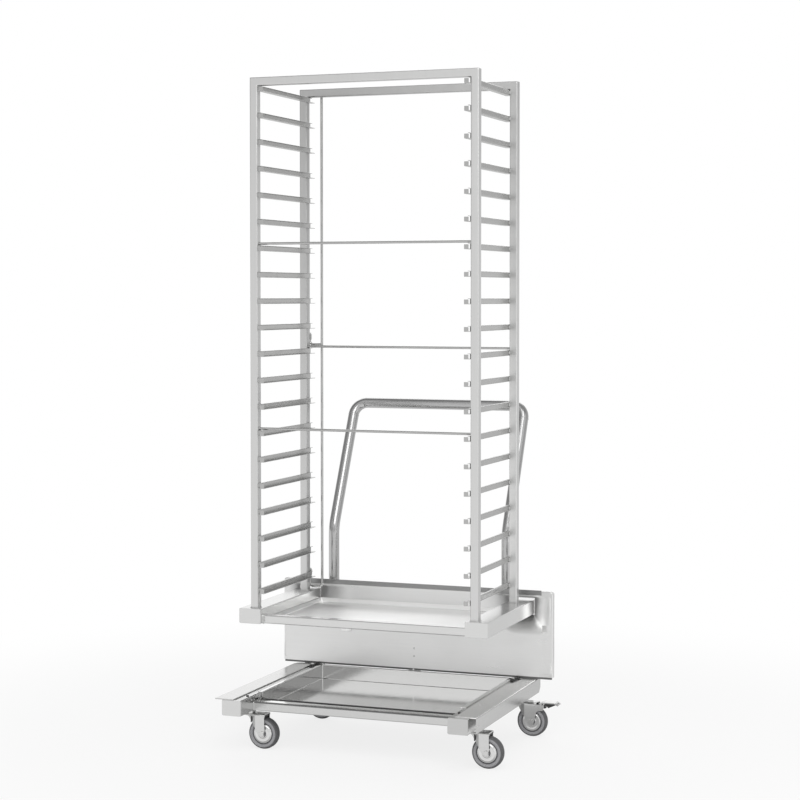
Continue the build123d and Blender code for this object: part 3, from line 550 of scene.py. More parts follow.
def flipped(shape, axis, about=0.0):   # mirror image across a plane, with its faces turned back outwards
    points = shape["points"].copy()
    points[:, axis] = 2 * about - points[:, axis]
    sizes = [len(face) for face in shape["faces"]]
    rows = np.split(shape["uv"], np.cumsum(sizes)[:-1])
    return {"points": points, "faces": [face[::-1] for face in shape["faces"]],
            "uv": np.concatenate([row[::-1] for row in rows])}


def turnedOver(shape):   # every face the other way round, for shapes whose faces all have four corners
    return {**shape, "faces": [face[::-1] for face in shape["faces"]],
            "uv": shape["uv"].reshape(-1, 4, 2)[:, ::-1].reshape(-1, 2)}


def planarUv(shape, first, second):   # UV straight from two of the coordinates
    corners = np.concatenate([np.asarray(face) for face in shape["faces"]])
    return shape["points"][corners][:, [first, second]]


def bothSides(shape):   # a shape on the right and its mirror image on the left
    return joined(shape, flipped(shape, 0))


def addModifier(piece, kind, **values):
    modifier = piece.modifiers.new(kind.lower(), kind)
    for name, value in values.items():
        setattr(modifier, name, value)


def addBevel(piece, width, angle):
    addModifier(piece, "BEVEL", width=width * mm, segments=2, limit_method="ANGLE",
                angle_limit=math.radians(angle))


def makePiece(name, shape, body, slot, replaced=(), bevel=0.0, sharp=35, thickness=0.0, merge=False,
              bevelAngle=40, look=None, tone=None):
    # One finished piece: a mesh from the arrays in metres, its UV map, sharp edges, edge rounding and place
    mesh = bpy.data.meshes.new(name)
    mesh.from_pydata((shape["points"] * mm + rackMiddle).tolist(), [], shape["faces"])
    uvLayer = mesh.uv_layers.new(name="UVMap")
    uvLayer.uv.foreach_set("vector", (shape["uv"] * mm).astype(np.float32).ravel())
    # The tone attribute holds painted light and shade for the finishes that read it
    if tone:
        stored = mesh.attributes.new("tone", "FLOAT", "POINT")
        stored.data.foreach_set("value", np.asarray(tone(shape["points"]), np.float32))
    if merge:
        work = bmesh.new()
        work.from_mesh(mesh)
        bmesh.ops.remove_doubles(work, verts=work.verts, dist=1e-6)
        bmesh.ops.dissolve_degenerate(work, edges=work.edges, dist=1e-6)
        work.to_mesh(mesh)
        work.free()
    mesh.update()
    mesh.shade_smooth()
    mesh.set_sharp_from_angle(angle=math.radians(sharp))
    mesh.materials.append(materials[look or slot])
    piece = link(name, mesh)
    if thickness:
        addModifier(piece, "SOLIDIFY", thickness=thickness * mm, offset=-1)
    if bevel:
        addBevel(piece, bevel, bevelAngle)
    addModifier(piece, "WEIGHTED_NORMAL", keep_sharp=True)
    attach(piece, body)
    if replaced:
        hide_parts(*replaced)


weldLook = {"pitch": 1.7, "ripple": 0.16, "perPitch": 4}


def weld(path, radius, closed=False, steps=8, perPitch=weldLook["perPitch"]):
    # Weld bead: a round bar that swells once a pitch, r = radius * (1 + ripple * |sin|), tapered at open ends
    path = np.asarray(path, float)
    ends = np.concatenate([path, path[:1]]) if closed else path
    lengths = np.concatenate([[0], np.cumsum(np.linalg.norm(np.diff(ends, axis=0), axis=1))])
    count = max(6, int(lengths[-1] / weldLook["pitch"]) * perPitch)
    s = np.linspace(0, lengths[-1], count + 1)
    line = np.stack([np.interp(s, lengths, ends[:, k]) for k in range(3)], 1)
    size = 1 + weldLook["ripple"] * np.abs(np.sin(s * math.pi / weldLook["pitch"]))
    if closed:
        line, size = line[:-1], size[:-1]
    else:
        size = size * np.clip(np.minimum(s, lengths[-1] - s) / radius, 0.15, 1) ** 0.5
    across = np.cross(line[1] - line[0], (0.31, 0.52, 0.79))
    return carry(circleLoop(radius, steps), line, across, closed=closed, scale=size)


def loopWeld(loop, level, facing, radius, **more):   # a bead round a flat loop
    return weld(standing(loop, level, facing), radius, closed=True, **more)


def ringWeld(centre, axis, around, radius, count=24, **more):   # a bead round a rod
    path = turned([(around, 0), (around, 1)], centre, axis, count)["points"][:count]
    return weld(path, radius, closed=True, **more)


def makeCrossBar(names, node, slot, proud, bead):
    # Box section along X in its node's box, with a bead round each end that stands a little proud of it
    low, high = boxOf(node)
    deep, tall = (high - low)[1:]
    y, z = middleOf(node)[1:]
    loop = roundedLoop(deep, tall, tubeCorner)
    makePiece(names[0], barAlongX(loop, (low[0], high[0]), y, z, (0, 1, 0)), "frame", slot, [node])
    outline = roundedLoop(deep + 2 * proud, tall + 2 * proud, tubeCorner + proud) + (y, z)
    beads = [loopWeld(outline, side * (high[0] - 0.3), "x", bead) for side in (-1, 1)]
    makePiece(names[1], joined(*beads), "frame", slot)


rackLook = {
    "tube": 20,                         # side of the square tube
    "mitreRound": 1.6,                  # rounding where the top bar meets an upright
    "proud": 0.3,                       # the feet's beads stand out of the tube and over its end by this
    "welds": 1.5,                       # bead round an upright's foot
    "jointWeld": 1.1,                   # bead between an upright and a runner
    "middleX": 276.85,                  # an upright's middle line
    "barBottom": 1570,                  # the top bar is above this
    "paintedSideShade": (0.24, 0.1),            # painted shade: the left and right uprights' right hand sides are darker by this
    "paintedRearLight": (0.28, 0.14, 0.13),     # painted light and shade behind: left upright and top bar darker, right upright lighter
}


def makeRackFrames():
    # Goalpost of square tube: up one side, across the top with mitred corners, and down the other side
    look = rackLook
    tube, proud = look["tube"], look["proud"]

    # Painted light and shade as each point's tone: darker right hand sides, and behind, growing with height,
    # a darker left upright and top bar and a lighter right upright
    def tone(points, end):
        x, z = points[:, 0], points[:, 2]
        post = z < look["barBottom"]
        side = np.interp(np.where(x < 0, x + look["middleX"], x - look["middleX"]), [7, 10], [0, 1])
        level = 1 - side * np.where(x < 0, *look["paintedSideShade"]) * post
        if end == "front":
            return level
        left, bar, right = look["paintedRearLight"]
        rise = np.interp(z, [700, 1300], [0, 1])
        return level * (1 - rise * (left * (x < -200) + bar * ~post * (x >= -200)) + right * (x > 200) * post)
    for end in ("front", "rear"):
        bottom = boxOf(f"{end}_right_upright")[0][2]
        x, y, _ = middleOf(f"{end}_right_upright")
        leftX = middleOf(f"{end}_left_upright")[0]
        top = boxOf("upright_caps")[1][2] - tube / 2
        path = [(leftX, y, bottom), (leftX, y, top), (x, y, top), (x, y, bottom)]
        shape = carry(roundedLoop(tube, tube, tubeCorner), path, (0, 1, 0), soft=look["mitreRound"])
        replaced = [f"{end}_left_upright", f"{end}_right_upright", f"{end}_top_bar"]
        if end == "front":
            replaced.append("upright_caps")
        makePiece(f"{end}_rack_frame", shape, "frame", "rack_steel", replaced, look="frame_steel",
                  tone=lambda points: tone(points, end))
        loop = roundedLoop(tube + 2 * proud, tube + 2 * proud, 3.2)
        feet = [loopWeld(loop + (middle, y), bottom + proud, "z", look["welds"]) for middle in (leftX, x)]
        makePiece(f"{end}_upright_welds", joined(*feet), "frame", "rack_steel")


runnerLook = {
    "height": 13.5,
    "sheet": 1.2,
    "bend": 1.6,
    "ledge": 15.5,
    "lip": 6.5,
    "stop": (10.5, 11.0),   # width and height of the bent-up front stop
    "leadIn": 4.0,          # the ledge's rear end narrows over this length
    "levels": 20,
    "beads": (0.9, 0.7, 4.4),       # of the joints: inwards of the upright, over the web, half length
}


def makeRunners():
    # Folded runner: its section (lip, web, ledge) carried along Y; the ledge's rear end narrows at 45
    # degrees: its reach is ledge - (y - end + leadIn) over the last few millimetres
    low, high = boxOf("right_runners")
    look = runnerLook
    sheet, ledge, leadIn = look["sheet"], look["ledge"], look["leadIn"]
    reach = (look["height"] - sheet) / 2
    section = sheetLoop([(look["lip"], reach), (sheet / 2, reach), (sheet / 2, -reach), (ledge, -reach)],
                        look["bend"], sheet)
    stations = np.concatenate([[low[1]], np.linspace(low[1] + 8, high[1] - 8, 12),
                               high[1] - np.linspace(leadIn, 0, 4)])[:, None]
    webX = high[0]
    sectionX, sectionZ = section.T[:, None]
    x = np.minimum(sectionX, ledge - np.clip(stations - high[1] + leadIn, 0, None))
    x = np.where(sectionZ < 0, x, sectionX)
    grid = np.stack([webX - x, np.broadcast_to(stations, x.shape), np.broadcast_to(sectionZ, x.shape)], 2)
    wide, tall = look["stop"]
    outline = roundedLoop(wide, tall, 0.9, 3) + (webX - ledge + wide / 2, (tall - look["height"]) / 2)
    one = joined(gridShape(grid), slab(outline, low[1] + 0.02, low[1] + sheet, "y"))
    heights = np.linspace(low[2] + look["height"] / 2, high[2] - look["height"] / 2, look["levels"])
    right = joined(*[moved(one, (0, 0, z)) for z in heights])
    makePiece("right_tray_runners", right, "frame", "runner_steel", ["right_runners"])
    makePiece("left_tray_runners", flipped(right, 0), "frame", "runner_steel", ["left_runners"])
    inwards, over, half = look["beads"]
    inner = (boxOf("front_right_upright")[1][1] - inwards, boxOf("rear_right_upright")[0][1] + inwards)
    beads = [weld([(webX + over, y, z - half), (webX + over, y, z + half)], rackLook["jointWeld"])
             for y in inner for z in heights]
    makePiece("runner_welds", bothSides(joined(*beads)), "frame", "rack_steel")


# The rear stop rod stands overLevel above the runner of rearLevel, counted from 0
rodLook = {"radius": 3.0, "welds": 1.0, "rearLevel": 9, "pitch": 63, "overLevel": 11}


def makeStopRods():
    radius = rodLook["radius"]
    runnerLow, runnerHigh = boxOf("right_runners")
    inner = runnerHigh[0]
    low, high = boxOf("stop_rods")
    frontY, rearY = (middleOf(f"{end}_right_upright")[1] for end in ("front", "rear"))
    runnerZ = runnerLow[2] + runnerLook["height"] / 2 + rodLook["rearLevel"] * rodLook["pitch"]
    places = ((frontY, high[2] - radius), (frontY, low[2] + radius), (rearY, runnerZ + rodLook["overLevel"]))
    rods, rings = [], []
    for y, z in places:
        rods.append(turned([(radius, -inner), (radius, inner)], (0, y, z), (1, 0, 0), 24))
        rings += [ringWeld((side * (inner - 0.4), y, z), (1, 0, 0), radius + 0.3, rodLook["welds"])
                  for side in (-1, 1)]
    makePiece("stop_rod_bars", joined(*rods), "frame", "rod_steel", ["stop_rods"])
    makePiece("stop_rod_welds", joined(*rings), "frame", "rod_steel")


gateLook = {
    "radius": 3.25,
    "bend": 9.0,
    "weld": 0.9,
    "pinEnds": (18, 4),     # the pins end this far over the bottom and the top of the lugs
    "armBelow": 26,         # the middle arm is this far under the top of the lugs
    "tips": [(1.0, 1.0), (0.35, 0.93), (0.0, 0.7)],     # distance from an end and the rod's share there
}


def makeGate():
    # Long rod, arms and pins: a round section carried along bent lines
    radius = gateLook["radius"]
    low, high = boxOf("gate_rod")
    lugLow, lugHigh = boxOf("gate_lugs")
    y = middleOf("gate_rod")[1]
    near, far = low[0] + radius, high[0] - radius
    armMiddle = lugHigh[2] - gateLook["armBelow"]
    lowPin, highPin = gateLook["pinEnds"]
    back, shares = (np.array(column) for column in zip(*gateLook["tips"]))
    tips = np.stack([back * 0, back * 0, back], 1)
    ends = []
    for start, arm, pin in ((high[2], low[2] + radius, lugLow[2] + lowPin),
                            (None, armMiddle, lugHigh[2] + highPin)):
        points = [(far, y, arm), (near, y, arm), (near, y, pin)]
        if start:
            points.insert(0, (far, y, start))
        path = bentLine(points, gateLook["bend"])
        path = np.concatenate([path[:-1], path[-1] - tips])
        size = np.concatenate([np.ones(len(path) - len(tips)), shares])
        if start:
            path = np.concatenate([path[0] - tips[::-1], path[1:]])
            size = np.concatenate([shares[::-1], size[1:]])
        ends.append(carry(circleLoop(radius), path, (0, 1, 0), scale=size))
    joint = ringWeld((far - 3.1, y, armMiddle), (1, 0, 0), 3.3, gateLook["weld"])
    makePiece("gate_rod_bent", joined(*ends, joint), "tray_gate", "rod_steel", ["gate_rod"])


makeRackFrames()
makeRunners()
makeStopRods()
makeGate()
print("rack, runners and gate built")

def makeDeckRails():
    low, high = boxOf("right_deck_rail")
    x, _, z = middleOf("right_deck_rail")
    loop = roundedLoop(high[2] - low[2], high[0] - low[0], tubeCorner, 6)
    rail = carry(loop, [(x, low[1], z), (x, high[1], z)], (0, 0, 1))
    makePiece("right_deck_rail_tube", rail, "frame", "deck_steel", ["right_deck_rail"])
    makePiece("left_deck_rail_tube", flipped(rail, 0), "frame", "deck_steel", ["left_deck_rail"])
    makeCrossBar(("deck_front_tube", "deck_bar_welds"), "deck_front_bar", "deck_steel", 0.2, 1.2)


capLook = {
    "thick": 2.0,
    "edge": [(0.0, 2.0), (0.0, 1.2), (0.35, 0.35), (1.2, 0.0)],     # inset, and depth below the outer face
    "weld": 0.45,
    "paintedChassisShade": 0.84,    # painted shade on the right chassis rail's caps
}


def makeRailCaps():
    # End plates of the box rails, each with a weld run round it
    plates, beads = [], []
    for node in ("right_deck_rail", "right_chassis_rail"):
        low, high = boxOf(node)
        wide, _, tall = high - low
        middle = middleOf(node)[[0, 2]]
        for end, y in ((-1, low[1]), (1, high[1])):
            rings = []
            for inset, depth in capLook["edge"]:
                loop = roundedLoop(wide - 2 * inset, tall - 2 * inset, tubeCorner - inset) + middle
                rings.append(standing(loop, y + end * (capLook["thick"] - depth), "y"))
            plate = gridShape(np.array(rings))
            if end > 0:
                plate["faces"] = [face[::-1] for face in plate["faces"]]
            plates.append(plate)
            outline = roundedLoop(wide, tall, tubeCorner) + middle
            beads.append(loopWeld(outline, y, "y", capLook["weld"], steps=6, perPitch=1))
    # The right chassis rail's caps are darker by painted shade
    makePiece("rail_end_plates", bothSides(joined(*plates)), "frame", "deck_steel", ["rail_end_caps"],
              look="cap_steel", tone=lambda points: np.where((points[:, 0] > 0) & (points[:, 2] < 200),
                                                             capLook["paintedChassisShade"], 1.0))
    makePiece("rail_end_welds", bothSides(joined(*beads)), "frame", "deck_steel")


panLook = {
    "sheet": 1.5,
    "bend": 3.0,
    "corner": 6.0,
    "deep": 14.0,
    "fall": 0.9,
    "drain": 11.0,          # radius of the hole
    "spout": 12.5,          # outer radius
    "spoutAt": (-56.0, 19.5),       # x, and distance behind the front edge
    "paintedWallShade": 0.78,       # painted shade on the left wall
    "paintedFloorLight": ([0, 330], [1.12, 0.84]),      # painted light and shade on the floor, against x - y
}


def spread(loop, between):   # more points on a loop's long runs
    out = []
    for a, b in zip(loop, np.roll(loop, -1, axis=0)):
        count = max(1, int(np.linalg.norm(b - a) / between))
        out.append(a + (b - a) * np.linspace(0, 1, count, endpoint=False)[:, None])
    return np.concatenate(out)


def makeDeckPan():
    # Rings from the drain's edge outwards to the floor's edge, round the bend, up the walls and back below.
    # The floor's height is a plane that falls to the drain: z = floor + fall * distance / longest distance
    low, high = boxOf("deck_pan")
    sheet, bend, corner = panLook["sheet"], panLook["bend"], panLook["corner"]
    drain, spout = panLook["drain"], panLook["spout"]
    spoutX, spoutY = panLook["spoutAt"]
    spoutCentre = np.array([spoutX, low[1] + spoutY])
    top = high[2]
    floor = top - panLook["deep"] + sheet
    middle, half = (low[:2] + high[:2]) / 2, (high[:2] - low[:2]) / 2
    outer = spread(roundedLoop(*(2 * half), corner, 6) + middle, 24)
    away = outer - spoutCentre
    reach = np.linalg.norm(away, axis=1)[:, None]
    near = np.clip(outer - middle, corner - half, half - corner)
    normal = outer - middle - near
    length = np.maximum(np.linalg.norm(normal, axis=1)[:, None], 1e-9)

    def circle(radius):
        return spoutCentre + away / reach * radius

    def inset(distance):   # the outer ring moved inwards, with its corners kept round
        return middle + near + normal * (1 - distance / length if distance < corner else 0)
    rings = [standing(circle(drain + wider), floor + drop)
             for wider, drop in ((0, -9.5), (0, -0.6), (0.5, -0.25), (1.4, 0.0))]
    start, edge = circle(drain + 1.4), inset(sheet + bend)
    for share in (0.1, 0.25, 0.45, 0.7, 1.0):
        ring = start + (edge - start) * share
        rise = panLook["fall"] * np.linalg.norm(ring - spoutCentre, axis=1) / reach.max()
        rings.append(standing(ring, floor + rise))
    base = rings[-1][:, 2]
    turn = quarterTurn(5)[1:]
    rings += [standing(inset(sheet + bend * (1 - math.sin(angle))), base + bend * (1 - math.cos(angle)))
              for angle in turn]
    rings += [standing(inset(sheet * share), height)
              for share, height in ((1, top - 0.5), (0.7, top), (0.3, top), (0, top - 0.5),
                                    (0, floor + bend))]
    outerBend = bend + sheet
    rings += [standing(inset(outerBend * (1 - math.cos(angle))), floor + bend - outerBend * math.sin(angle))
              for angle in turn]
    rings += [standing(circle(radius), floor - drop)
              for radius, drop in ((spout + 1.0, sheet), (spout, sheet + 0.8), (spout, 9.9),
                                   (spout - 0.5, sheet + 9.0), (drain, sheet + 8.5))]
    rings = np.array(rings)
    rings[..., 2] = np.maximum(rings[..., 2], low[2])
    shape = turnedOver(gridShape(rings, closedAlong=True))
    shape["uv"] = planarUv(shape, 0, 1)

    # Painted shade on the left wall; the floor's painted light and shade runs from lighter at the left rear
    # to darker at the right front
    def tone(points):
        x, y, z = points.T
        wall = (x < low[0] + sheet + 0.1) & (z > floor + 1)
        return np.where(wall, panLook["paintedWallShade"], np.interp(x - y, *panLook["paintedFloorLight"]))
    makePiece("deck_pan_sheet", shape, "frame", "deck_steel", ["deck_pan"], sharp=30, look="pan_steel",
              tone=tone)


makeDeckRails()
makeRailCaps()
makeDeckPan()
print("deck built")

panelLook = {
    "sheet": 1.5,
    "fold": 3.0,
    "corner": 8.0,
    "frontBehind": 1.0,     # its front face is this far behind the front of its node's box
    "hem": (9, 1.0, 0.45),      # width, depth and corner
    "seal": (5.6, 6.0, 0.6),
    "stripCorner": 0.5,
}


def panelContour(low, high, inset, xs, zs):
    # Open outline of the panel, up the left side, over the top and down the right: each corner arc has radius
    # corner - inset round a fixed centre, and the straight parts use the same stations at every inset
    corner = panelLook["corner"]
    arc = max(corner - inset, 0.0) * unitAt(quarterTurn(7))
    left = np.stack([np.full(len(zs), low[0] + inset), zs], 1)
    leftArc = (low[0] + corner, high[2] - corner) + arc * (-1, 1)
    top = np.stack([xs[1:-1], np.full(len(xs) - 2, high[2] - inset)], 1)
    rightArc = (high[0] - corner, high[2] - corner) + arc[:, ::-1]
    right = np.stack([np.full(len(zs), high[0] - inset), zs[::-1]], 1)
    return np.concatenate([left[:-1], leftArc, top, rightArc, right[1:]])


def makeRearPanel():
    # A face with two slots for the deck rails, and a folded rim: rings of one contour at growing depth
    low, high = boxOf("rear_panel")
    railLow, railHigh = boxOf("right_deck_rail")
    corner, fold = panelLook["corner"], panelLook["fold"]
    front = low[1] + panelLook["frontBehind"]
    slotX = (railLow[0] - 1, railHigh[0] + 1)
    slotZ = (railLow[2] - 1, railHigh[2] + 4.5)
    xs = np.array([low[0] + corner, -slotX[1], -slotX[0], -160, -80, 0, 80, 160, *slotX, high[0] - corner])
    zs = np.array([low[2], 190, 240, *slotZ, high[2] - corner])
    gridX, gridZ = np.meshgrid(xs, zs)
    face = np.stack([gridX, np.full(gridX.shape, front), gridZ], 2)
    keep = np.ones((len(zs) - 1, len(xs) - 1), bool)
    keep[3, [1, 8]] = False
    middle = turnedOver(gridShape(face, closedAcross=False, keep=keep))
    middle["uv"] = planarUv(middle, 0, 2)
    steps = [(corner, 0.0), *((fold * (1 - math.sin(a)), fold * (1 - math.cos(a))) for a in quarterTurn(6)),
             (0.0, high[1] - front)]
    rings = [standing(panelContour(low, high, inset, xs, zs), front + depth, "y") for inset, depth in steps]
    rim = gridShape(np.array(rings), closedAcross=False)
    rim["uv"] = rim["uv"][:, ::-1]
    makePiece("rear_panel_sheet", joined(middle, rim), "frame", "panel_steel", ["rear_panel"], bevel=0.3,
              thickness=panelLook["sheet"], merge=True, sharp=40, bevelAngle=60)
    hem = barAlongX(roundedLoop(*panelLook["hem"], 3), (low[0] + 2, high[0] - 2), front - 0.5, low[2] + 4.5)
    makePiece("rear_panel_hem", hem, "frame", "panel_steel")
    seal = barAlongX(roundedLoop(*panelLook["seal"], 3), (low[0] + 3, high[0] - 3), front + 2.6, low[2] - 2.1)
    makePiece("rear_panel_seal", seal, "frame", "dark_screws", look="grey_rubber")
    stripLow, stripHigh = boxOf("panel_top_strip")
    deep, tall = (stripHigh - stripLow)[1:]
    strip = barAlongX(roundedLoop(tall, deep, panelLook["stripCorner"], 3), (stripLow[0], stripHigh[0]),
                      *middleOf("panel_top_strip")[1:])
    makePiece("rear_panel_strip", strip, "frame", "dark_strip", ["panel_top_strip"])


screwLook = {"radius": 3.75, "height": 1.6, "recess": 1.5, "depth": 0.9}
screwShank = [(0, 0), (2, 0), (2, 4.9), (1.4, 5.4), (0, 5.5)]


def makePanelScrews():
    low, high = boxOf("panel_screws")
    r, h, hole, deep = (screwLook[key] for key in ("radius", "height", "recess", "depth"))
    profile = [(0, -0.3), (r, -0.3), (r, h * 0.12), (r * 0.95, h * 0.42), (r * 0.8, h * 0.78),
               (r * 0.55, h * 0.97), (hole + 0.12, h), (hole, h - 0.1), (hole * 0.95, h - deep),
               (0, h - deep)]
    places = [((low[0] + high[0]) / 2, low[1] + h, z) for z in (high[2] - r, low[2] + r)]
    heads = [turned(profile, place, (0, -1, 0), 28) for place in places]
    shanks = [turned(screwShank, place, (0, 1, 0), 16) for place in places]
    makePiece("panel_screw_heads", joined(*heads, *shanks), "frame", "dark_screws", ["panel_screws"],
              merge=True)


postWeld = 1.3


def makePosts():
    low, high = boxOf("rear_posts")
    inner = boxOf("right_chassis_rail")[0][0] + 7
    wide, deep = high[0] - inner, high[1] - low[1]
    middle = ((inner + high[0]) / 2, (low[1] + high[1]) / 2)
    post = carry(roundedLoop(wide, deep, tubeCorner), [(*middle, low[2]), (*middle, high[2])], (1, 0, 0))
    makePiece("rear_post_tubes", bothSides(post), "frame", "chassis_steel", ["rear_posts"])
    loop = np.minimum(roundedLoop(wide + 0.6, deep + 0.2, 3.2) + middle, (np.inf, high[1] - 1.2))
    beads = [loopWeld(loop, z, "z", postWeld) for z in (low[2] + 0.4, high[2] - 0.4)]
    makePiece("rear_post_welds", bothSides(joined(*beads)), "frame", "chassis_steel")


handleLook = {
    "radius": 13.5,
    "knee": (484.0, 90.0),      # height and bend
    "topBend": 34.0,
    "joint": 0.55,              # bead where the cross bar's bends meet the arms
    "jointBelow": 35.0,         # its distance from the corner, along the arm
    "plugBore": (11.4, 15),     # radius and depth of the part in the tube
    "clampTall": 26,
}


def makeHandle():
    low, high = boxOf("push_handle")
    radius, topBend = handleLook["radius"], handleLook["topBend"]
    kneeZ, kneeBend = handleLook["knee"]
    x, y, topY, topZ = high[0] - radius, low[1] + radius, high[1] - radius, high[2] - radius
    right = [(x, topY, topZ), (x, y, kneeZ), (x, y, low[2])]
    points = [(-x, *place) for _, *place in right[::-1]] + right
    path = bentLine(points, [kneeBend, topBend, topBend, kneeBend], math.radians(4))
    tube = carry(circleLoop(radius, 40), path, (1, 0, 0))
    makePiece("handle_tube", tube, "frame", "handle_steel", ["push_handle"], sharp=50)
    arm = np.subtract(points[1], points[2])
    arm /= np.linalg.norm(arm)
    bead = ringWeld(points[2] + arm * handleLook["jointBelow"], arm, radius + 0.05, handleLook["joint"], 48,
                    steps=6)
    makePiece("handle_joint_welds", bothSides(flipped(bead, 0)), "frame", "handle_steel")
    bore, deep = handleLook["plugBore"]
    profile = [(0, 0), (radius - 1.4, 0), (radius - 0.5, 0.3), (radius, 1.0), (radius, 2.6),
               (radius - 0.4, 3.0), (bore, 3.0), (bore, deep - 0.4), (bore - 0.5, deep), (0, deep)]
    plug = turned(profile, (x, y, boxOf("handle_plugs")[0][2]), (0, 0, 1), 40)
    makePiece("handle_end_plugs", bothSides(plug), "frame", "black_plug", ["handle_plugs"], merge=True)
    # Clamp block: a rectangle with an arc that fits the tube
    clampLow, clampHigh = boxOf("handle_clamps")
    start, end = math.asin((clampHigh[1] - y) / radius), -math.acos(0.6)
    arc = (x, y) + radius * unitAt(np.linspace(start, end, 12))
    outline = np.concatenate([[(arc[-1, 0], clampLow[1]), (clampHigh[0], clampLow[1]), clampHigh[:2]], arc])
    tall = handleLook["clampTall"]
    blocks = [slab(outline, z, z + tall) for z in (clampLow[2], clampHigh[2] - tall)]
    makePiece("handle_clamp_blocks", bothSides(joined(*blocks)), "frame", "chassis_steel", ["handle_clamps"],
              bevel=0.9, bevelAngle=50)


makeRearPanel()
makePanelScrews()
makePosts()
makeHandle()
print("panel, posts and handle built")

shadowStripLoop = (2.2, 12, 0.5)     # dark strip on the front cross bar under the tray's lip, painted shade of the gap there: height, depth and corner


def makeCrossBars():
    for end in ("front", "rear"):
        makeCrossBar((f"chassis_{end}_tube", f"chassis_{end}_welds"), f"chassis_{end}_bar", "chassis_steel",
                     0.1, 1.3)
    # A dark strip along the front bar's top, as painted shade of the gap under the tray's lip
    low, high = boxOf("chassis_front_bar")
    shadowStrip = barAlongX(roundedLoop(*shadowStripLoop, 3), (low[0] + 2, high[0] - 2), low[1] + 5.6, high[2] - 0.9)
    makePiece("tray_front_shadow_strip", shadowStrip, "frame", "dark_screws", look="grey_rubber")


guideLook = {
    "sheet": 2.5,
    "corner": 18.0,         # of the left plate behind
    "smallCorner": 2.0,     # and in front
    "fold": 3.5,
    "chamfer": 12.0,
    "step": 14,             # the right guide's inner edge steps outwards by this
    "paintedTopFlange": (1.5, 0.9),    # painted light on the right guide's top and painted shade on its flange
}


def makeGuides():
    # Left: a flat plate with two round corners. Right: an angle whose inner edge steps out to the rail's side
    corner, small = guideLook["corner"], guideLook["smallCorner"]
    low, high = boxOf("left_guide_plate")
    rear = (low[0] + corner, high[1] - corner) + corner * unitAt(quarterTurn(10) + math.pi / 2)
    front = low[:2] + small + small * unitAt(quarterTurn(5) + math.pi)
    plate = slab(np.concatenate([[(high[0], low[1]), high[:2]], rear, front]), low[2], high[2])
    makePiece("left_guide_sheet", plate, "frame", "chassis_steel", ["left_guide_plate"], bevel=0.5)
    low, high = boxOf("right_guide_angle")
    railX = boxOf("right_chassis_rail")[1][0]
    panelY = boxOf("rear_panel")[0][1] - 0.5
    fold, chamfer = guideLook["fold"], guideLook["chamfer"]
    ys = np.array([low[1], -200, -100, 0, 108, 150, panelY, high[1] - chamfer, high[1]])
    inner = np.array([low[0]] * 5 + [low[0] + guideLook["step"]] * 2 + [railX] * 2)
    bend = quarterTurn(7)
    outer = np.concatenate([[railX], high[0] - fold + fold * np.sin(bend), [high[0]]])
    across = np.concatenate([inner[:, None], np.tile(outer, (len(ys), 1))], 1)
    down = np.concatenate([[high[2]] * 2, high[2] - fold * (1 - np.cos(bend)), [low[2]]])
    heights = np.tile(down, (len(ys), 1))
    heights[-1, -1] += chamfer
    keep = np.ones((len(ys) - 1, len(down) - 1), bool)
    keep[6:, 0] = False
    grid = np.stack([across, np.broadcast_to(ys[:, None], across.shape), heights], 2)

    # Painted light on the top, painted shade on the flange
    def tone(points):
        return np.where(points[:, 2] > high[2] - 1, *guideLook["paintedTopFlange"])
    makePiece("right_guide_sheet", gridShape(grid, closedAcross=False, keep=keep), "frame", "chassis_steel",
              ["right_guide_angle"], bevel=0.4, thickness=guideLook["sheet"], merge=True, bevelAngle=60,
              look="guide_steel", tone=tone)


trayLook = {
    "sheet": 1.2,
    "bend": 1.2,
    "corner": 2.6,
    "rimBend": 2.0,
    "paintedLeftShade": 0.62,           # painted shade on the left wall's inside
    "bead": (250.0, 4.5, 2.0),  # dark strip along the lip, painted shade of the slot behind its front edge: half its length, its depth and its height
    "tab": (0.7, 3.3, 0.6),     # from and to this far outside the wall, and half its thickness
}


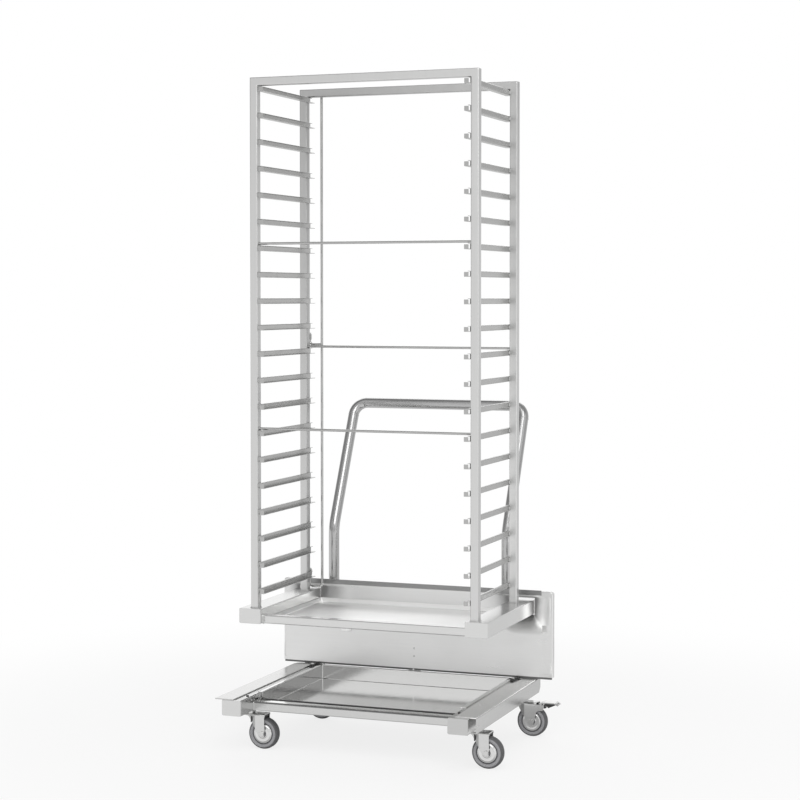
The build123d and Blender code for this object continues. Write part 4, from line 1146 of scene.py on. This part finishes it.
def makeDripTray():
    # One sheet from the middle of the floor out, up the walls and over into the rims. Each ring is the outer
    # rectangle moved inwards; its height and its reach depend on the side it runs along
    low, high = boxOf("drip_tray")
    sheet, bend, corner, rimBend = (trayLook[key] for key in ("sheet", "bend", "corner", "rimBend"))
    wallX = boxOf("right_chassis_rail")[0][0] - 4
    rearY = boxOf("rear_panel")[0][1] - 5
    barHigh = boxOf("chassis_front_bar")[1]
    frontY, lipTop = barHigh[1] + 2, barHigh[2] + sheet
    floor = low[2] + sheet
    middle = np.array([0, (rearY + frontY) / 2])
    core = np.array([wallX, (rearY - frontY) / 2]) - corner
    near, away = [], []
    signs = ((1, 1), (-1, 1), (-1, -1), (1, -1))
    for quarter, sign in enumerate(signs):
        direction = unitAt(quarterTurn(7) + quarter * math.pi / 2)
        here, following = core * sign, core * signs[(quarter + 1) % 4]
        between = here + (following - here) * np.linspace(0, 1, 14)[1:-1, None]
        near += [np.tile(here, (len(direction), 1)), between]
        away += [direction, np.tile(direction[-1], (len(between), 1))]
    near, away = np.concatenate(near) + middle, np.concatenate(away)
    frontRun = away[:, 1] < -0.999
    top = np.where(frontRun, lipTop, high[2])

    def ring(inset, z):
        return standing(near + away * max(corner - inset, 0.0), z)
    rings = [standing((near + middle) / 2, floor), ring(corner, floor)]
    for angle in quarterTurn(6):
        rings.append(ring(sheet + bend * (1 - math.sin(angle)), floor + bend * (1 - math.cos(angle))))
    # Rims run outwards and backwards, the lip forwards
    rim = np.clip(away * 1.6, (-1, 0), 1) * (high[0] - wallX + sheet, high[1] - rearY + sheet)
    outward = np.where(frontRun[:, None], (0, low[1] - frontY - sheet), rim)
    start = outward / np.maximum(np.linalg.norm(outward, axis=1)[:, None], 1e-6) * rimBend
    inner = near + away * (corner - sheet)
    for angle in quarterTurn(5):
        rings.append(standing(inner + start * (1 - math.cos(angle)), top - rimBend * (1 - math.sin(angle))))
    rings += [standing(inner + start * (1 - share) + outward * share, top) for share in (0.5, 1.0)]
    rings = np.array(rings)
    keep = np.ones((len(rings) - 1, len(near)), bool)
    keep[-6:, frontRun != np.roll(frontRun, -1)] = False
    body = turnedOver(gridShape(rings, keep=keep, caps=False))
    body["uv"] = planarUv(body, 0, 1)
    centre = {"points": rings[0], "faces": [list(range(len(near)))], "uv": rings[0][:, :2]}

    # Painted shade on the inside of the left wall
    def tone(points):
        x, _, z = points.T
        leftWall = (x < -wallX + sheet + 0.1) & (z > floor + 1) & (z < high[2] - rimBend + 0.2)
        return np.where(leftWall, trayLook["paintedLeftShade"], 1.0)
    makePiece("drip_tray_sheet", joined(body, centre), "drip_tray", "polished_tray", ["drip_tray"],
              thickness=sheet, merge=True, sharp=50, look="tray_steel", tone=tone)
    # Dark strip along the lip, behind its front edge, as painted shade of the slot there, and a tab at each
    # end of the front wall
    wide, deep, tall = trayLook["bead"]
    bead = barAlongX(roundedLoop(deep, tall, 1.2, 3), (-wide, wide), frontY - 3, lipTop + tall / 2, (0, 1, 0))
    makePiece("drip_tray_shadow_line", bead, "drip_tray", "dark_screws")
    start, end, half = trayLook["tab"]
    outline = [(wallX + x, z) for x, z in ((start, lipTop), (end, lipTop), (end, high[2] - sheet),
                                           (start, high[2] - sheet))]
    tab = slab(outline, frontY - half, frontY + half, "y")
    makePiece("drip_tray_end_tabs", bothSides(tab), "drip_tray", "polished_tray")


bufferLook = {
    "profile": [(0, 5.4), (2.8, 5.2), (3.4, 4.6), (3.4, 3.3), (2.9, 3.25), (2.9, 0), (0, 0)],
    "place": (264, -226),
    "sunk": 3.2,
}


def makeHolePlugs():
    # Dark buffer: its stem fills the small hole on top of each chassis rail, its head stands on the rail
    bottom = boxOf("right_chassis_rail")[1][2] - bufferLook["sunk"]
    bung = turned(bufferLook["profile"], (*bufferLook["place"], bottom), (0, 0, 1), 20)
    makePiece("rail_hole_bungs", bothSides(bung), "frame", "black_plug", merge=True)


makeCrossBars()
makeGuides()
makeDripTray()
makeHolePlugs()
print("chassis and drip tray built")

wheelLook = {
    # half profiles as (radius, distance inwards from the tyre's side), and the roundings of their corners
    "tyre": [(26, 2), (27.2, 0.5), (31.5, 0)],
    "tread": [(-1.4, 3.6), (0, 8)],     # the same, with the radius counted from the tyre's
    "tyreRounds": [0.5, 0.6, 1.5, 2.5, 3],
    # hub: (radius, distance from the middle) with the web and rim counted inwards from the side
    "bore": 4.06,
    "boss": (9, 13.7),
    "rim": (24.5, 26.02),
    "webIn": 5,
    "rimIn": 2,
    "hubRound": 0.45,
    # cover: (radius, height) against its outer face
    "cover": [(9.05, -3.5), (23.5, -3.5), (23.5, -1), (22.7, -0.1), (21.2, 0.1), (20.2, 0.75), (18.6, 1.0),
              (15.5, 0.55), (12.2, 0.45), (10.4, 0.95), (9.05, 1.0)],
    "coverIn": 1.5,
    "coverRound": 0.35,
}


def ringProfile(points, radii):   # closed profile with rounded corners
    points = np.asarray(points, float)
    middle = (points[0] + points[-1]) / 2
    return bentLine(np.concatenate([[middle], points, [middle]]), radii, math.radians(12))


def mirrored(side):   # a half profile and its mirror image at the other end of the axis
    return side + [(radius, -y) for radius, y in side[::-1]]


def makeWheels():
    look = wheelLook
    axis = (0, 1, 0)
    for name in ("front_left", "front_right", "rear_left", "rear_right"):
        body = f"{name}_wheel"
        low, high = boxOf(f"{name}_tyre")
        centre, half, r = (low + high) / 2, (high[1] - low[1]) / 2, (high[2] - low[2]) / 2
        wall = look["tyre"] + [(r + radius, inwards) for radius, inwards in look["tread"]]
        tyre = mirrored([(radius, inwards - half) for radius, inwards in wall])
        rounds = look["tyreRounds"] + look["tyreRounds"][::-1]
        shape = turned(ringProfile(tyre, rounds), centre, axis, 96)
        shape["uv"][:, 0] -= shape["uv"][:, 0].max() / 2     # 0 on the tread's middle line
        makePiece(f"{name}_tyre_ring", shape, body, "tyre_grey", [f"{name}_tyre"], sharp=60)
        bossRadius, boss = look["boss"]
        rimInner, rimOuter = look["rim"]
        web, rim = half - look["webIn"], half - look["rimIn"]
        hub = mirrored([(look["bore"], -boss), (bossRadius, -boss), (bossRadius, -web), (rimInner, -web),
                        (rimInner, -rim), (rimOuter, -rim)])
        shape = turned(ringProfile(hub, look["hubRound"]), centre, axis, 64)
        makePiece(f"{name}_hub_ring", shape, body, "hub_grey", [f"{name}_hub"], sharp=50)
        profile = np.add(look["cover"], (0, half - look["coverIn"]))
        cover = turned(ringProfile(profile, look["coverRound"]), centre, axis, 72)
        covers = joined(flipped(cover, 1, centre[1]), cover)
        makePiece(f"{name}_cover_discs", covers, body, "cover_steel", [f"{name}_wheel_covers"], sharp=50)


# CAD nodes that keep their shape, and the width of their rounded edges
softened = {"castor_plates": 0.5, "castor_kingpins": 0.4, "castor_bolts": 0.35, "foot_bolts": 0.4,
            "foot_brackets": 0.5, "latch_bracket": 0.6, "gate_lugs": 0.5, "right_chassis_rail": 0.2,
            "left_chassis_rail": 0.2, "front_left_axle": 0.5, "front_right_axle": 0.5, "rear_left_axle": 0.5,
            "rear_right_axle": 0.5, "rear_left_brake_pedal": 0.5, "rear_right_brake_pedal": 0.5}


def softenNodes():   # their loose triangles are joined and their edges rounded by modifiers
    for node, width in softened.items():
        piece = frame["nodes"][node]
        addModifier(piece, "WELD", merge_threshold=1e-6)
        addBevel(piece, width, 32)


makeWheels()
softenNodes()
print("castors built")

trail = 40.5        # from a castor's swivel axis to its axle

# Lengths along the fork are counted from the swivel axis
forkLook = {
    "sheet": 3.0,
    "fold": 4.5,            # outer bend between the crown and a cheek
    "back": 24.0,           # crown behind the swivel axis
    "straight": 28.0,       # the crown's sides are straight in front of this
    "roundness": 2.4,
    "lip": 5.5,             # turned-down edge round the back of the crown
    "gusset": [(2.0, 79.5), (4.5, 77.5), (16.8, 57.6), (29.2, 43.1)],
    "legBack": 16.0,        # the leg's edges behind and in front of the axle
    "legFront": 6.5,
    "foot": (7, 8.5),       # the leg's end is round from this far behind the axle on, with this radius
    "joggle": (4.0, 12.0),  # the cheek behind the leg is set in by this much over this length
    "reach": 7.4,           # front edge of the crown past the axle
    "skirt": [(52.0, 56.0), (54.5, 61.5), (58.0, 65.2), (62.0, 66.0), (68.0, 66.0), (70.5, 67.5),
              (72.0, 71.0), (72.5, 75.0)],
    "paintedSlopeShade": ([-13, -11, -2.5, -0.3], [0.85, 0.62, 0.62, 1.0]),     # painted shade on the slope behind the leg, against the distance from the leg
}


def makeForks():
    # Columns run along X, rows from the crown's middle over the fold and down a cheek. In plan the crown's
    # half width is half * (1 - ((straight - x) / length) ^ roundness) ^ 0.5. The cheek ends on its own lower
    # line, and the part of it behind the leg is set inwards over the joggle: wide - in * smooth step
    look = forkLook
    back, foldRadius = look["back"], look["fold"]
    legBack, legFront = trail - look["legBack"], trail + look["legFront"]
    footBack, footRadius = trail - look["foot"][0], look["foot"][1]
    for end in ("front", "rear"):
        low, high = boxOf(f"{end}_right_fork")
        axleX, _, axleZ = middleOf(f"{end}_right_axle")
        y = (low[1] + high[1]) / 2
        top, half = high[2], (high[1] - low[1]) / 2
        xs = [0.6 - back + (back + 2) * (1 - np.cos(quarterTurn(12))), [3.2, 4.5, 7, 9.5],
              legBack - np.array([12, 9, 6, 3, 0.02]), np.linspace(legBack, footBack, 5),
              trail + np.linspace(-6, look["legFront"], 9)]
        if end == "rear":
            xs.append([x for x, _ in look["skirt"]])
        else:
            xs.append([legFront + 0.02, trail + look["reach"]])
        xs = np.concatenate(xs)
        share = np.clip((look["straight"] - xs) / (back + look["straight"]), 0, 1)
        wide = half * (1 - share ** look["roundness"]) ** 0.5
        lower = np.interp(xs, [-back, 1.9] + [x for x, _ in look["gusset"]],
                          [top - look["lip"]] * 2 + [z for _, z in look["gusset"]])
        leg = (xs >= legBack) & (xs <= legFront + 1e-6)
        legX = xs[leg]
        foot = np.sqrt(np.clip(footRadius ** 2 - (legX - trail) ** 2, 0, None))
        slope = np.interp(legX, [legBack, footBack], [-6.5, 4.8])
        lower[leg] = axleZ - np.where(legX > footBack, foot, slope)
        beyond = xs > legFront + 1e-6
        if end == "rear":
            lower[beyond] = np.interp(xs[beyond], *zip(*look["skirt"]))
        else:
            lower[beyond] = top - foldRadius - 1.5
        fold = np.minimum(foldRadius, wide * 0.6)
        rowsY = [wide * 0.0, (wide - fold) * 0.5, wide - fold]
        rowsZ = [np.full(len(xs), top)] * 3
        for angle in quarterTurn(6)[1:]:
            rowsY.append(wide - fold * (1 - math.sin(angle)))
            rowsZ.append(top - fold * (1 - math.cos(angle)))
        edge = rowsZ[-1]
        setIn, run = look["joggle"]
        smooth = np.clip((legBack - xs) / run, 0, 1)
        smooth = smooth * smooth * (3 - 2 * smooth) * np.clip((xs - 1) / 6, 0, 1)
        for part in (0.08, 0.25, 0.45, 0.65, 0.85, 1.0):
            rowsY.append(wide - setIn * smooth * min(part / 0.25, 1))
            rowsZ.append(edge + (np.minimum(lower, edge - 0.5) - edge) * part)
        grid = np.stack([np.broadcast_to(xs, (len(rowsY), len(xs))), -np.array(rowsY), np.array(rowsZ)], 2)
        keep = np.ones((len(rowsY) - 1, len(xs) - 1), bool)
        if end == "rear":
            keep[:7, xs[1:] > legFront + 8] = False
        near = turnedOver(gridShape(grid, closedAcross=False, keep=keep))
        sheet = joined(near, flipped(near, 1))

        def tone(x, z):   # painted shade, darker on the slope behind the leg
            return np.where(z < top - foldRadius + 0.5, np.interp(x - legBack, *look["paintedSlopeShade"]), 1.0)
        for side in ("left", "right"):
            startX = axleX - trail + boxOf(f"{end}_{side}_fork")[0][0] - low[0]
            makePiece(f"{end}_{side}_fork_pressing", moved(sheet, (startX, y, 0)), f"{end}_{side}_castor",
                      "castor_steel", [f"{end}_{side}_fork"], thickness=look["sheet"], bevel=1.0, merge=True,
                      bevelAngle=50, look="fork_steel",
                      tone=lambda points: tone(points[:, 0] - startX, points[:, 2]))


forkShadeLook = {"half": 13.6, "back": -30.0, "front": 5.4, "above": 38.9, "underCrown": 3.4}


def makeForkShadePlates():
    # Black plate over each front wheel, between the cheeks, as painted shade inside the fork: its underside
    # is an arc round the axle, z = axle + (above ^ 2 - x ^ 2) ^ 0.5
    back, front, half = forkShadeLook["back"], forkShadeLook["front"], forkShadeLook["half"]
    for side in ("left", "right"):
        axleX, y, axleZ = middleOf(f"front_{side}_axle")
        crown = boxOf(f"front_{side}_fork")[1][2] - forkShadeLook["underCrown"]
        x = np.linspace(back, front, 14)
        under = axleZ + np.sqrt(forkShadeLook["above"] ** 2 - x ** 2)
        arc = np.stack([axleX + x, under], 1)
        outline = np.concatenate([arc, [(axleX + front, crown), (axleX + back, crown)]])
        guard = slab(outline, y - half, y + half, "y")
        makePiece(f"front_{side}_fork_shade_plate", guard, f"front_{side}_castor", "black_plug", bevel=0.4)


pedalShadeLook = {
    "outline": [(74.0, 0.0), (83.0, -11.5), (105.5, -1.2), (105.5, 0.0)],   # x, and z under the plate
    "end": 108.5,       # the pedal's end along the same x
    "under": 2.4,       # the plate is this thick
    "half": 10.5,
}


def makePedalShadeRibs():
    # Black rib under each brake pedal, as painted shade of its underside: a triangle below the plate
    half = pedalShadeLook["half"]
    for side in ("left", "right"):
        node = f"rear_{side}_brake_pedal"
        high = boxOf(node)[1]
        y = middleOf(node)[1]
        outline = np.add(pedalShadeLook["outline"], (high[0] - pedalShadeLook["end"], high[2] - pedalShadeLook["under"]))
        makePiece(f"rear_{side}_pedal_shade_rib", slab(outline, y - half, y + half, "y"), f"rear_{side}_pedal",
                  "black_plug", bevel=0.5)


makeForks()
makeForkShadePlates()
makePedalShadeRibs()
print("forks built")

slotOf = {row["node"]: row["material_slot"] for row in frame["record"]["subparts"]}
slotOf["right_chassis_rail"] = "right_rail_lit_steel"     # its look, a lit copy of chassis_steel at its own level, as painted light; the record keeps its slot
for node, piece in frame["nodes"].items():
    piece.data.materials.clear()
    piece.data.materials.append(materials[slotOf[node]])
